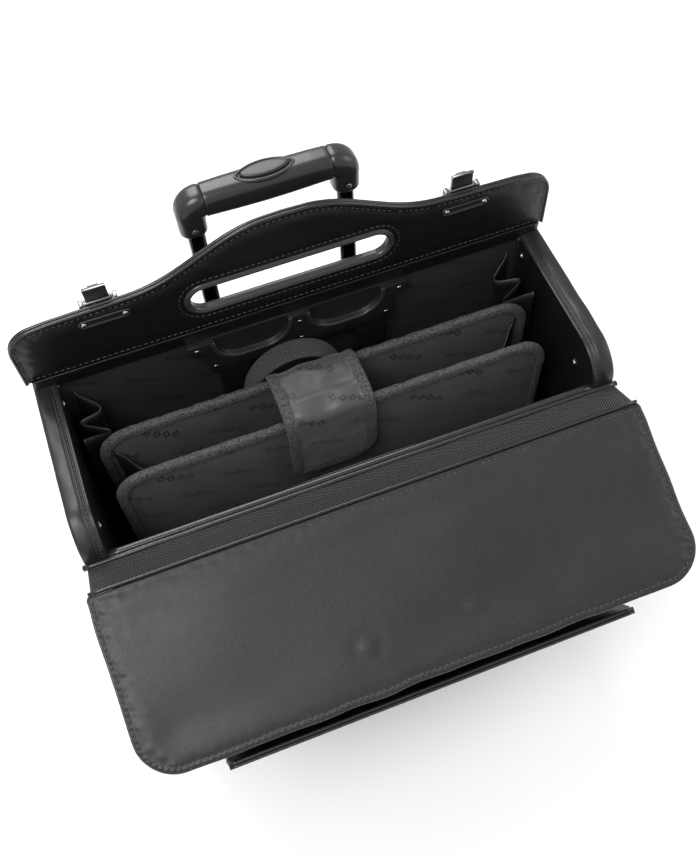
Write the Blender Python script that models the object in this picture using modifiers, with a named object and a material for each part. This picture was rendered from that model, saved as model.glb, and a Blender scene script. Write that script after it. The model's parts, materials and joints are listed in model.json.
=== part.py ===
"""Rolling laptop case: a top-loading leather case on two wheels with a telescopic trolley handle.

The case is modelled open. Two lids share its mouth: a short rear lid that stands up behind the
mouth, and a long front lid folded out over a gaping front pocket on a woven two-fold hinge strip.
When shut, the carry handle of the front lid comes up through the slot of the rear lid, and two
latches hold the rear lid down on it.

Units are metres, +Z is up, +Y is the back with the trolley. Everything hangs on one empty whose
origin is the middle of the mouth's front edge, so local y runs from the front face to the back and
local z is 0 at the rim. The object's own origin is the middle of its footprint, on the floor.
"""

import math

import bmesh
import bpy
from mathutils import Matrix

# Case body
WIDTH = 0.470
DEPTH = 0.164
RIM_Z = 0.372  # height of the rim above the floor
FRONT_Y = -0.0283  # the front face, so that the whole object is centred on the origin
BOX_BOTTOM = -0.352  # below the rim, as every z from here on
SIDE_T = 0.018
WALL_T = 0.006
BOTTOM_T = 0.008
BAND_T = 0.002
RIM_RADIUS = 0.036  # rounded front corner of each side wall
GAP = 0.0003
INNER_X = WIDTH / 2 - SIDE_T
PANEL_X = INNER_X - 2 * GAP

# Front lid: hinge strip, panel and carry handle
STRIP_L = 0.035
STRIP_T = 0.0025
STRIP_AXIS = (-0.0008, -0.034)  # y, z of the fold line on the case
STRIP_OPEN = math.radians(151.3)  # direction of the strip, measured from +Y towards +Z
LID_OPEN = math.radians(201.4)  # direction of the front lid
LID_L = 0.151
LID_X = 0.2385
LID_T = 0.005
LID_CORNER = 0.033
HANDLE_AT = 0.1155  # from the lid's fold line to the handle's pivots
HANDLE_PIVOT_Z = 0.0135
HANDLE_REACH = 0.050
HANDLE_ARM_X = (0.0625, 0.0745)
POST_X = (0.050, 0.0622)
PIN_R = 0.0024
CATCH_Y = (0.066, 0.083)

# Rear lid
REAR_AXIS = (0.156, 0.0065)
REAR_Y = (0.002, 0.008)  # inner and outer face, from the hinge axis
REAR_SHOULDER = 0.066
REAR_HUMP = 0.110
REAR_CORNER = 0.024
SLOT_Z = REAR_AXIS[0] - HANDLE_AT
SLOT_HALF = (0.0875, 0.0122)
SLOT_RING = 0.0058
LATCH_X = 0.158
LATCH_AXIS = (0.0122, 0.0665)

# Trolley
TUBE_X = 0.066
TUBE_Y = 0.206
OUTER_TUBE = (0.0244, 0.0194, 0.0015)  # width, depth, wall
MIDDLE_TUBE = (0.0200, 0.0150, 0.0014)
INNER_TUBE = (0.0160, 0.0110, 0.0014)
COVER_X = 0.098
COVER_BACK = 0.219
COVER_Z = (-0.335, -0.072)
MIDDLE_TOP = -0.045
INNER_TOP = 0.096
GRIP_Z = (0.095, 0.121)
GRIP_Y = 0.013
GRIP_X = 0.0785
GRIP_SEAM = 0.0542
LEG_BOTTOM = 0.080
BUTTON_HALF = (0.0205, 0.0060)

# Wheels
WHEEL_X = 0.213
WHEEL_Y = 0.200
WHEEL_R = 0.030
WHEEL_W = 0.022
WHEEL_Z = WHEEL_R - RIM_Z
AXLE_R = 0.0042
BORE_R = 0.0043

# Laptop sleeve inside
PAD_T = 0.010
FRONT_PAD = (0.198, 0.052, -0.018)  # half width, front face, top
REAR_PAD = (0.202, 0.098, -0.020)
STRAP_X = (-0.047, 0.033)
STRAP_AXIS = (0.1045, -0.0165)

# Front pocket
POCKET_AXIS = (-0.038, -0.342)
POCKET_TILT = math.radians(29)
POCKET_X = 0.180
POCKET_L = 0.272
POCKET_T = 0.004

LEATHER = ("black_leather", (0.016, 0.016, 0.017), 0.45, 0.0)
SMOOTH_LEATHER = ("smooth_leather", (0.042, 0.042, 0.043), 0.40, 0.0)
LINING = ("grey_lining", (0.060, 0.060, 0.063), 0.60, 0.0)
WEBBING = ("webbing", (0.035, 0.035, 0.036), 0.80, 0.0)
PLASTIC = ("black_plastic", (0.018, 0.018, 0.019), 0.38, 0.0)
GUNMETAL = ("gunmetal", (0.110, 0.110, 0.115), 0.35, 1.0)
TUBE_METAL = ("black_tube", (0.020, 0.020, 0.021), 0.35, 1.0)
STEEL = ("steel", (0.550, 0.550, 0.560), 0.30, 1.0)
RUBBER = ("rubber", (0.012, 0.012, 0.012), 0.75, 0.0)

SIDES = (("left", -1), ("right", 1))


# ---------------------------------------------------------------- helpers


def clear_scene():
    for obj in list(bpy.data.objects):
        bpy.data.objects.remove(obj)


def make_collection(name):
    collection = bpy.data.collections.new(name)
    bpy.context.scene.collection.children.link(collection)
    return collection


def material(spec):
    name, colour, roughness, metallic = spec
    found = bpy.data.materials.get(name)
    if found:
        return found
    made = bpy.data.materials.new(name)
    made.use_nodes = True
    shader = made.node_tree.nodes["Principled BSDF"]
    shader.inputs["Base Color"].default_value = (*colour, 1)
    shader.inputs["Roughness"].default_value = roughness
    shader.inputs["Metallic"].default_value = metallic
    return made


def pivot(name, location, turn=0.0, parent=None):
    """An empty on a joint's axis, turned about X into the rest pose."""
    empty = bpy.data.objects.new(name, None)
    empty.location = location
    empty.rotation_euler = (turn, 0, 0)
    empty.parent = parent
    PARTS.objects.link(empty)
    return empty


def add(name, mesh, spec, parent, cutter=False):
    obj = bpy.data.objects.new(name, mesh)
    obj.parent = parent
    if cutter:
        CUTTERS.objects.link(obj)
        obj.hide_render = True
        obj.display_type = "WIRE"
    else:
        PARTS.objects.link(obj)
        mesh.materials.append(material(spec))
    return obj


def box(name, x, y, z, spec=None, parent=None, cutter=False, bevel=0.0):
    """A box between two values along each axis, with its edges rounded by bevel."""
    shape = bmesh.new()
    bmesh.ops.create_cube(shape, size=1)
    size = Matrix.Diagonal((x[1] - x[0], y[1] - y[0], z[1] - z[0], 1))
    middle = Matrix.Translation(((x[0] + x[1]) / 2, (y[0] + y[1]) / 2, (z[0] + z[1]) / 2))
    bmesh.ops.transform(shape, matrix=middle @ size, verts=shape.verts)
    mesh = bpy.data.meshes.new(name)
    shape.to_mesh(mesh)
    shape.free()
    obj = add(name, mesh, spec, parent, cutter)
    if bevel:
        round_edges(obj, bevel)
    return obj


def cylinder(name, radius, x, y, z, spec=None, parent=None, cutter=False, segments=24):
    """A cylinder along X."""
    shape = bmesh.new()
    bmesh.ops.create_cone(
        shape, cap_ends=True, segments=segments, radius1=radius, radius2=radius, depth=x[1] - x[0]
    )
    lay = Matrix.Rotation(math.pi / 2, 4, "Y")
    bmesh.ops.transform(shape, matrix=lay, verts=shape.verts)
    bmesh.ops.translate(shape, vec=((x[0] + x[1]) / 2, y, z), verts=shape.verts)
    mesh = bpy.data.meshes.new(name)
    shape.to_mesh(mesh)
    shape.free()
    mesh.shade_smooth()
    mesh.set_sharp_from_angle(angle=math.radians(40))
    return add(name, mesh, spec, parent, cutter)


def prism(name, outlines, along, low, high, spec=None, parent=None, cutter=False):
    """A flat outline, with any further outlines as holes in it, given thickness along one axis.

    An outline's points are (x, z) for thickness along Y, (y, z) along X and (x, y) along Z.
    """
    curve = bpy.data.curves.new(name, "CURVE")
    curve.dimensions = "2D"
    curve.fill_mode = "BOTH"
    curve.extrude = (high - low) / 2
    for outline in outlines:
        spline = curve.splines.new("POLY")
        spline.points.add(len(outline) - 1)
        for point, (a, b) in zip(spline.points, outline):
            point.co = (a, b, 0, 1)
        spline.use_cyclic_u = True
    flat = bpy.data.objects.new(name + "_outline", curve)
    bpy.context.scene.collection.objects.link(flat)
    graph = bpy.context.evaluated_depsgraph_get()
    mesh = bpy.data.meshes.new_from_object(flat.evaluated_get(graph))
    bpy.data.objects.remove(flat)
    bpy.data.curves.remove(curve)
    mesh.name = name
    middle = (low + high) / 2
    # The columns are where the outline's two directions and its thickness go.
    turn = {
        "X": Matrix(((0, 0, 1, middle), (1, 0, 0, 0), (0, 1, 0, 0), (0, 0, 0, 1))),
        "Y": Matrix(((1, 0, 0, 0), (0, 0, -1, middle), (0, 1, 0, 0), (0, 0, 0, 1))),
        "Z": Matrix(((1, 0, 0, 0), (0, 1, 0, 0), (0, 0, 1, middle), (0, 0, 0, 1))),
    }[along]
    shape = bmesh.new()
    shape.from_mesh(mesh)
    bmesh.ops.remove_doubles(shape, verts=shape.verts, dist=1e-6)
    bmesh.ops.transform(shape, matrix=turn, verts=shape.verts)
    bmesh.ops.recalc_face_normals(shape, faces=shape.faces)
    shape.to_mesh(mesh)
    shape.free()
    mesh.shade_smooth()
    mesh.set_sharp_from_angle(angle=math.radians(40))
    return add(name, mesh, spec, parent, cutter)


def round_edges(obj, width, segments=2):
    bevel = obj.modifiers.new("rounded", "BEVEL")
    bevel.width = width
    bevel.segments = segments
    bevel.limit_method = "ANGLE"
    bevel.angle_limit = math.radians(50)
    bevel.harden_normals = False


def combine(obj, other, operation="DIFFERENCE"):
    boolean = obj.modifiers.new(operation.lower(), "BOOLEAN")
    boolean.operation = operation
    boolean.object = other
    return obj


def rounded(corners, steps=5):
    """An outline through (a, b, radius) corners, each rounded by an arc of its own radius."""
    points = []
    count = len(corners)
    for i, (a, b, radius) in enumerate(corners):
        if not radius:
            points.append((a, b))
            continue
        before, after = corners[i - 1], corners[(i + 1) % count]
        to_before = math.atan2(before[1] - b, before[0] - a)
        to_after = math.atan2(after[1] - b, after[0] - a)
        half = (to_after - to_before) % math.tau / 2
        if half > math.pi / 2:
            half -= math.pi
        middle = to_before + half
        reach = radius / abs(math.sin(half))
        centre = (a + reach * math.cos(middle), b + reach * math.sin(middle))
        sweep = math.pi - 2 * abs(half)
        turning = 1 if half < 0 else -1
        for k in range(steps + 1):
            angle = middle + math.pi - turning * sweep * (k / steps - 0.5) * -1
            points.append((centre[0] + radius * math.cos(angle), centre[1] + radius * math.sin(angle)))
    return points


def rectangle(a, b, radius=0.0, steps=4):
    """A rectangle's outline between two values each way, with rounded corners."""
    return rounded(
        [(a[0], b[0], radius), (a[1], b[0], radius), (a[1], b[1], radius), (a[0], b[1], radius)], steps
    )


def ribbon(path, thickness):
    """The outline of a strip of this thickness that is centred on an open path."""
    sides = ([], [])
    for i, (a, b) in enumerate(path):
        before, after = path[max(i - 1, 0)], path[min(i + 1, len(path) - 1)]
        into = math.atan2(b - before[1], a - before[0]) if i else None
        out = math.atan2(after[1] - b, after[0] - a) if i < len(path) - 1 else into
        into = out if into is None else into
        bend = (out - into + math.pi) % math.tau - math.pi
        normal = into + bend / 2 + math.pi / 2
        reach = thickness / 2 / math.cos(bend / 2)
        for side, sign in zip(sides, (1, -1)):
            side.append((a + sign * reach * math.cos(normal), b + sign * reach * math.sin(normal)))
    return sides[0] + sides[1][::-1]


def mirrored(values, sign):
    """A pair of x values on the given side, in rising order."""
    return tuple(sorted(sign * value for value in values))


def turned(name, profile, centre, spec, parent, steps=32):
    """A profile of (radius, x) points turned round an axis along X."""
    mesh = bpy.data.meshes.new(name)
    points = [(x, 0, radius) for radius, x in reversed(profile)]
    edges = [(i, (i + 1) % len(points)) for i in range(len(points))]
    mesh.from_pydata(points, edges, [])
    obj = add(name, mesh, spec, parent)
    obj.location = centre
    screw = obj.modifiers.new("turned", "SCREW")
    screw.axis = "X"
    screw.steps = screw.render_steps = steps
    screw.use_merge_vertices = True
    screw.merge_threshold = 0.00001
    screw.use_smooth_shade = True
    return obj


# ---------------------------------------------------------------- case body


def side_outline(inset):
    """Side view of a side wall: the front top corner is rounded, the rest square."""
    radius = RIM_RADIUS - inset
    return rounded(
        [
            (inset, BOX_BOTTOM, 0.006),
            (DEPTH, BOX_BOTTOM, 0.006),
            (DEPTH, -inset, 0),
            (inset, -inset, radius),
        ],
        steps=8,
    )


def make_case(base):
    for side, sign in SIDES:
        outer = mirrored((INNER_X, WIDTH / 2), sign)
        prism(side + "_side_wall", [side_outline(BAND_T + GAP)], "X", *outer, LEATHER, base)
        middle = BAND_T / 2
        arc = [
            (RIM_RADIUS - (RIM_RADIUS - middle) * math.cos(t), -RIM_RADIUS + (RIM_RADIUS - middle) * math.sin(t))
            for t in [math.pi / 2 * k / 8 for k in range(9)]
        ]
        path = [(middle, -0.070)] + arc + [(DEPTH, -middle)]
        prism(side + "_rim_band", [ribbon(path, BAND_T)], "X", *outer, SMOOTH_LEATHER, base)

    across = (-PANEL_X, PANEL_X)
    box("front_wall", across, (0, WALL_T), (BOX_BOTTOM, -0.0355), LEATHER, base)
    rail = rounded([(0, -0.0352, 0), (WALL_T, -0.0352, 0), (WALL_T, -0.0305, 0.0022), (0, -0.0305, 0.0022)], 3)
    prism("front_rim_trim", [rail], "X", *across, SMOOTH_LEATHER, base)
    box("back_wall", across, (DEPTH - WALL_T, DEPTH), (BOX_BOTTOM, -0.002), LEATHER, base)
    inside = (WALL_T + GAP, DEPTH - WALL_T - GAP)
    box("bottom_panel", across, inside, (BOX_BOTTOM, BOX_BOTTOM + BOTTOM_T), LEATHER, base)
    slip = (WALL_T + GAP, WALL_T + GAP + 0.0022)
    box("front_slip_pocket", (-0.168, 0.168), slip, (-0.200, -0.042), SMOOTH_LEATHER, base)

    for side, sign in SIDES:
        foot_x = mirrored((0.172, 0.208), sign)
        foot = prism(
            side + "_front_foot",
            [rectangle(foot_x, (0.012, 0.036), 0.006)],
            "Z",
            -RIM_Z,
            BOX_BOTTOM - GAP,
            PLASTIC,
            base,
        )
        round_edges(foot, 0.002, 1)


def make_sleeve(base):
    """The padded laptop sleeve, its folding ends, and the folding ends of the file space behind it."""
    floor = BOX_BOTTOM + BOTTOM_T + 0.0005
    for name, (half, front, top) in (("sleeve_front_pad", FRONT_PAD), ("sleeve_rear_pad", REAR_PAD)):
        outline = rounded([(-half, floor, 0), (half, floor, 0), (half, top, 0.030), (-half, top, 0.030)])
        pad = prism(name, [outline], "Y", front, front + PAD_T, LINING, base)
        round_edges(pad, 0.003, 2)
    clear = 0.001  # a slanted strip's end reaches this much past its path
    near, far = FRONT_PAD[1] + PAD_T + clear, REAR_PAD[1] - clear
    back = DEPTH - WALL_T - clear
    behind = REAR_PAD[1] + PAD_T + clear
    quarter = (back - behind) / 4
    for side, sign in SIDES:
        fold = [(sign * 0.188, near), (sign * 0.172, (near + far) / 2), (sign * 0.188, far)]
        prism(f"sleeve_{side}_gusset", [ribbon(fold, 0.0015)], "Z", floor, -0.055, LINING, base)
        fold = [(sign * (0.206 - 0.018 * (k % 2)), behind + quarter * k) for k in range(5)]
        prism(f"file_{side}_gusset", [ribbon(fold, 0.0015)], "Z", -0.300, -0.030, LINING, base)

    arch = [(-0.018 + 0.045 * math.cos(t), -0.066 + 0.055 * math.sin(t)) for t in
            [math.pi * k / 14 for k in range(15)]]
    prism("webbing_loop", [ribbon(arch, 0.0025)], "Y", 0.1115, 0.1315, WEBBING, base)

    hinge = pivot("sleeve_strap_axis", (0, *STRAP_AXIS), 0, base)
    path = [(0.1065, -0.0165), (0.094, -0.0125), (0.078, -0.0085), (0.060, -0.0095), (0.0512, -0.0145)]
    path += [(0.0475, -0.024), (0.0475, -0.0955)]
    path = [(y - STRAP_AXIS[0], z - STRAP_AXIS[1]) for y, z in path]
    prism("sleeve_strap", [ribbon(path, 0.003)], "X", *STRAP_X, LINING, hinge)


# ---------------------------------------------------------------- front pocket


def make_front_pocket(base):
    """A panel hinged along its foot that gapes forward, with a cloth gusset at each end."""
    floor = (BOX_BOTTOM, BOX_BOTTOM + 0.0075)
    box("front_pocket_base", (-0.178, 0.178), (-0.0415, -GAP), floor, LEATHER, base)
    hinge = pivot("front_pocket_axis", (0, *POCKET_AXIS), POCKET_TILT, base)
    outline = rounded(
        [(-POCKET_X, 0.003, 0.004), (POCKET_X, 0.003, 0.004), (POCKET_X, POCKET_L, 0.004), (-POCKET_X, POCKET_L, 0.004)],
        3,
    )
    prism("front_pocket_panel", [outline], "Y", -POCKET_T, 0, LEATHER, hinge)
    lip = 0.262
    lip_y = POCKET_AXIS[0] - lip * math.sin(POCKET_TILT) + 0.0015
    lip_z = POCKET_AXIS[1] + lip * math.cos(POCKET_TILT)
    foot_z = floor[1] + GAP
    gusset = [(-0.0005, foot_z), (POCKET_AXIS[0] + 0.003, foot_z), (lip_y, lip_z), (-0.0005, -0.090)]
    for side, sign in SIDES:
        prism(side + "_pocket_gusset", [gusset], "X", *mirrored((0.1765, 0.178), sign), LEATHER, base)


# ---------------------------------------------------------------- front lid


def make_front_lid(base):
    """The woven strip folds on the case, the lid folds on the strip. Both are laid out as if shut."""
    strip_axis = pivot("strip_axis", (0, *STRIP_AXIS), STRIP_OPEN, base)
    across = (-LID_X + 0.004, LID_X - 0.004)
    box("front_hinge_strip", across, (0.001, STRIP_L - 0.001), (0, STRIP_T), WEBBING, strip_axis)

    lid = pivot("front_lid_axis", (0, STRIP_L, 0), LID_OPEN - STRIP_OPEN, strip_axis)
    outline = rounded(
        [(-LID_X, 0.0015, 0.003), (LID_X, 0.0015, 0.003), (LID_X, LID_L, LID_CORNER), (-LID_X, LID_L, LID_CORNER)], 8
    )
    prism("front_flap_panel", [outline], "Z", 0, LID_T, LEATHER, lid)

    face = LID_T + GAP
    for side, sign in SIDES:
        low, high = CATCH_Y
        hook = [(low, face), (high, face), (high, face + 0.0015), (low + 0.007, face + 0.0015)]
        hook += [(low + 0.007, face + 0.005), (low + 0.003, face + 0.005), (low, face + 0.002)]
        catch_x = (sign * LATCH_X - 0.010, sign * LATCH_X + 0.010)
        prism(side + "_latch_catch", [hook], "X", *catch_x, GUNMETAL, lid)

        foot = [(0.036, face), (POST_X[1], face), (POST_X[1], 0.0195), (POST_X[0], 0.0195)]
        foot += [(POST_X[0], face + 0.002), (0.036, face + 0.002)]
        foot = [(sign * x, z) for x, z in foot]
        post = prism(side + "_handle_post", [foot], "Y", HANDLE_AT - 0.007, HANDLE_AT + 0.007, GUNMETAL, lid)
        bore = cylinder(
            side + "_post_bore", PIN_R + 0.0002, mirrored((0.045, 0.064), sign), HANDLE_AT, HANDLE_PIVOT_Z,
            parent=lid, cutter=True,
        )
        combine(post, bore)

    swing = pivot("carry_handle_axis", (0, HANDLE_AT, HANDLE_PIVOT_Z), 0, lid)
    inner, outer = HANDLE_ARM_X
    bow = rounded(
        [
            (-outer, 0.006, 0.005),
            (-outer, -HANDLE_REACH - 0.007, 0.022),
            (outer, -HANDLE_REACH - 0.007, 0.022),
            (outer, 0.006, 0.005),
            (inner, 0.006, 0),
            (inner, -HANDLE_REACH + 0.007, 0.010),
            (-inner, -HANDLE_REACH + 0.007, 0.010),
            (-inner, 0.006, 0),
        ],
        6,
    )
    handle = prism("carry_handle", [bow], "Z", -0.006, 0.006, LEATHER, swing)
    for side, sign in SIDES:
        pin_x = mirrored((POST_X[0] + 0.001, inner + 0.002), sign)
        pin = cylinder(side + "_handle_pin", PIN_R, pin_x, 0, 0, parent=swing, cutter=True)
        combine(handle, pin, "UNION")


# ---------------------------------------------------------------- rear lid


def rear_lid_outline():
    """Shoulders at each side, rising through an S-curve to a hump over the slot."""
    top = []
    count = 26
    for k in range(count + 1):
        x = 0.205 - 0.410 * k / count
        blend = min(max((0.138 - abs(x)) / 0.120, 0), 1)
        blend = blend * blend * (3 - 2 * blend)
        crown = (REAR_HUMP - REAR_SHOULDER - 0.008) * blend * (1 - 0.10 * (x / 0.06) ** 2 * (1 - blend))
        shoulder = REAR_SHOULDER + 0.008 * (1 - abs(x) / 0.205)
        top.append((x, shoulder + crown, 0))
    foot, shoulder = 0.0005, REAR_SHOULDER - 0.004
    ends = [(-LID_X, foot, 0), (LID_X, foot, 0), (LID_X, shoulder, REAR_CORNER)]
    return rounded(ends + top + [(-LID_X, shoulder, REAR_CORNER)], 6)


def obround(half_length, half_height, z, steps=10):
    centre = half_length - half_height
    arcs = []
    for sign in (1, -1):
        for k in range(steps + 1):
            t = -math.pi / 2 + math.pi * k / steps
            arcs.append((sign * (centre + half_height * math.cos(t)), z + sign * half_height * math.sin(t)))
    return arcs


def make_rear_lid(base):
    lid = pivot("rear_lid_axis", (0, *REAR_AXIS), 0, base)
    inner, outer = REAR_Y
    length, height = SLOT_HALF
    hole = obround(length + SLOT_RING + GAP, height + SLOT_RING + GAP, SLOT_Z)
    prism("rear_flap_panel", [rear_lid_outline(), hole], "Y", inner, outer, LEATHER, lid)
    ring = obround(length + SLOT_RING, height + SLOT_RING, SLOT_Z)
    prism("slot_trim", [ring, obround(length, height, SLOT_Z)], "Y", inner - 0.001, outer + 0.001, PLASTIC, lid)

    axis_y, axis_z = LATCH_AXIS
    for side, sign in SIDES:
        x = sign * LATCH_X
        face = outer + GAP
        plate = rectangle((x - 0.022, x + 0.022), (0.0505, 0.0595), 0.0044)
        prism(side + "_backing_plate", [plate], "Y", inner - 0.0018, inner - GAP, GUNMETAL, lid)

        latch = box(side + "_latch_base", (x - 0.017, x + 0.017), (face, face + 0.0024), (0.034, 0.062), GUNMETAL, lid)
        for ear, offset in (("a", -0.0140), ("b", 0.0140)):
            ear_x = (x + offset - 0.0018, x + offset + 0.0018)
            block = box(f"{side}_latch_ear_{ear}", ear_x, (face, axis_y + 0.003), (0.057, axis_z + 0.003), cutter=True, parent=lid)
            combine(latch, block, "UNION")
        bore = cylinder(
            side + "_latch_bore", 0.0013, (x - 0.018, x + 0.018), axis_y, axis_z, parent=lid, cutter=True, segments=12
        )
        combine(latch, bore)

        swing = pivot(side + "_latch_axis", (x, axis_y, axis_z), 0, lid)
        tongue = [(-0.0015, 0), (0.0015, 0), (0.0015, 0.0165), (-0.0005, 0.0185), (-0.0028, 0.0185), (-0.0028, 0.0165), (-0.0015, 0.0155)]
        hasp = prism(side + "_latch_hasp", [tongue], "X", -0.0095, 0.0095, GUNMETAL, swing)
        barrel = cylinder(side + "_hasp_barrel", 0.0028, (-0.0118, 0.0118), 0, 0, parent=swing, cutter=True, segments=16)
        combine(hasp, barrel, "UNION")
        pin = cylinder(side + "_hasp_pin", 0.0011, (-0.0155, 0.0155), 0, 0, parent=swing, cutter=True, segments=12)
        combine(hasp, pin, "UNION")
        rib = box(side + "_hasp_rib", (-0.0045, 0.0045), (0, 0.0040), (0.001, 0.0150), cutter=True, parent=swing)
        combine(hasp, rib, "UNION")


# ---------------------------------------------------------------- trolley


def tube(name, size, x, z, parent):
    """A straight tube of rounded rectangular section, open at both ends."""
    width, depth, wall = size
    outer = rectangle((x - width / 2, x + width / 2), (TUBE_Y - depth / 2, TUBE_Y + depth / 2), 0.003, 3)
    inner = rectangle(
        (x - width / 2 + wall, x + width / 2 - wall), (TUBE_Y - depth / 2 + wall, TUBE_Y + depth / 2 - wall), 0.0015, 2
    )
    prism(name, [outer, inner], "Z", *z, TUBE_METAL, parent)


def make_inner_plate(base):
    """The moulded plate on the inside of the back wall, with two dished recesses and tube covers."""
    low, top, rail_low = -0.050, -0.004, -0.335
    right = [(0.102, top, 0), (0.102, -0.018, 0.004), (0.088, -0.018, 0), (0.088, low, 0.006)]
    right += [(TUBE_X + 0.014, low, 0), (TUBE_X + 0.014, rail_low, 0.003), (TUBE_X - 0.014, rail_low, 0.003)]
    right += [(TUBE_X - 0.014, low, 0)]
    left = [(-x, z, radius) for x, z, radius in reversed(right)]
    back = DEPTH - WALL_T - GAP
    plate = prism("trolley_inner_plate", [rounded(right + left, 4)], "Y", back - 0.0075, back, PLASTIC, base)
    for side, sign in SIDES:
        a, b = mirrored((0.010, 0.078), sign)
        dish = rounded([(a, top + 0.001, 0), (a, -0.032, 0.024), (b, -0.032, 0.024), (b, top + 0.001, 0)], 6)
        recess = prism(side + "_recess", [dish], "Y", back - 0.009, back - 0.0025, parent=base, cutter=True)
        combine(plate, recess).modifiers[-1].solver = "MANIFOLD"


def make_trolley(base):
    make_inner_plate(base)
    front = DEPTH + GAP
    wall = 0.003
    cover = box("trolley_back_cover", (-COVER_X, COVER_X), (front, COVER_BACK), COVER_Z, LEATHER, base)
    hollow = box(
        "cover_hollow",
        (-COVER_X + wall, COVER_X - wall),
        (front - 0.002, COVER_BACK - wall),
        (COVER_Z[0] + wall, COVER_Z[1] + 0.002),
        parent=base,
        cutter=True,
    )
    combine(cover, hollow)
    holes = [
        rectangle((sign * TUBE_X - 0.0106, sign * TUBE_X + 0.0106), (TUBE_Y - 0.0081, TUBE_Y + 0.0081), 0.003, 3)
        for _, sign in SIDES
    ]
    plate = rectangle((-COVER_X, COVER_X), (front, COVER_BACK), 0.004)
    prism("trolley_bezel", [plate] + holes, "Z", COVER_Z[1] + GAP, COVER_Z[1] + 0.0075, PLASTIC, base)
    floor = COVER_Z[0] + wall + GAP
    bracket_y = (TUBE_Y - 0.014, COVER_BACK - wall - GAP)
    box("trolley_foot_bracket", (-0.092, 0.092), bracket_y, (floor, floor + 0.012), GUNMETAL, base)

    lower = pivot("trolley_lower_axis", (0, 0, 0), 0, base)
    upper = pivot("trolley_upper_axis", (0, 0, 0), 0, lower)
    for side, sign in SIDES:
        x = sign * TUBE_X
        tube(side + "_outer_tube", OUTER_TUBE, x, (floor + 0.012 + GAP, COVER_Z[1] - GAP), base)
        tube(side + "_middle_tube", MIDDLE_TUBE, x, (floor + 0.014, MIDDLE_TOP), lower)
        tube(side + "_inner_tube", INNER_TUBE, x, (-0.235, INNER_TOP), upper)
    make_grip(upper)


def make_grip(upper):
    """A hollow bar between two elbow pieces, with the release button and the yoke that it pushes."""
    low, high = GRIP_Z
    middle = (low + high) / 2
    skin = rectangle((TUBE_Y - GRIP_Y, TUBE_Y + GRIP_Y), GRIP_Z, 0.010, 5)
    bore = rectangle((TUBE_Y - 0.007, TUBE_Y + 0.007), (middle - 0.006, middle + 0.006), 0.003, 2)
    bar = prism("grip_bar", [skin, bore], "X", -GRIP_SEAM, GRIP_SEAM, PLASTIC, upper)
    length, depth = BUTTON_HALF
    hole = [(x, y + TUBE_Y) for x, y in obround(length + 0.0006, depth + 0.0006, 0)]
    combine(bar, prism("button_hole", [hole], "Z", middle, high + 0.002, parent=upper, cutter=True))

    for side, sign in SIDES:
        inside, outside = GRIP_SEAM + GAP, GRIP_X
        elbow = [
            (inside, low, 0),
            (inside, high, 0),
            (outside, high, 0.021),
            (outside, LEG_BOTTOM, 0.006),
            (TUBE_X - 0.0115, LEG_BOTTOM, 0.003),
            (TUBE_X - 0.0115, low, 0),
        ]
        outline = [(sign * x, z) for x, z in rounded(elbow, 6)]
        corner = prism(side + "_grip_corner", [outline], "Y", TUBE_Y - 0.012, TUBE_Y + 0.012, PLASTIC, upper)
        round_edges(corner, 0.004, 2)
        x = sign * TUBE_X
        width, tube_depth, _ = INNER_TUBE
        half = tube_depth / 2 + GAP
        socket_x = (x - width / 2 - GAP, x + width / 2 + GAP)
        socket = box(
            side + "_tube_socket", socket_x, (TUBE_Y - half, TUBE_Y + half), (LEG_BOTTOM - 0.002, INNER_TOP + GAP),
            parent=upper, cutter=True,
        )
        combine(corner, socket)
        shaft = box(
            side + "_rod_shaft", (x - 0.004, x + 0.004), (TUBE_Y - 0.0035, TUBE_Y + 0.0035), (INNER_TOP - 0.0005, middle + 0.005),
            parent=upper, cutter=True,
        )
        combine(corner, shaft)
        tunnel = box(
            side + "_yoke_tunnel", mirrored((0.050, TUBE_X), sign), (TUBE_Y - 0.0034, TUBE_Y + 0.0034),
            (middle - 0.0056, middle + 0.0048), parent=upper, cutter=True,
        )
        combine(corner, tunnel)

    press = pivot("push_button_axis", (0, TUBE_Y, high), 0, upper)
    button = prism("push_button", [obround(length, depth, 0)], "Z", -0.0102, 0.0030, PLASTIC, press)
    round_edges(button, 0.0012, 2)
    yoke = box("release_yoke", (-TUBE_X - 0.0025, TUBE_X + 0.0025), (-0.002, 0.002), (-0.0150, -0.0105), STEEL, press)
    for side, sign in SIDES:
        rod_x = (sign * TUBE_X - 0.0025, sign * TUBE_X + 0.0025)
        rod = box(side + "_release_rod", rod_x, (-0.002, 0.002), (-0.225 - high, -0.0110), cutter=True, parent=press)
        combine(yoke, rod, "UNION")


# ---------------------------------------------------------------- wheels


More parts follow.
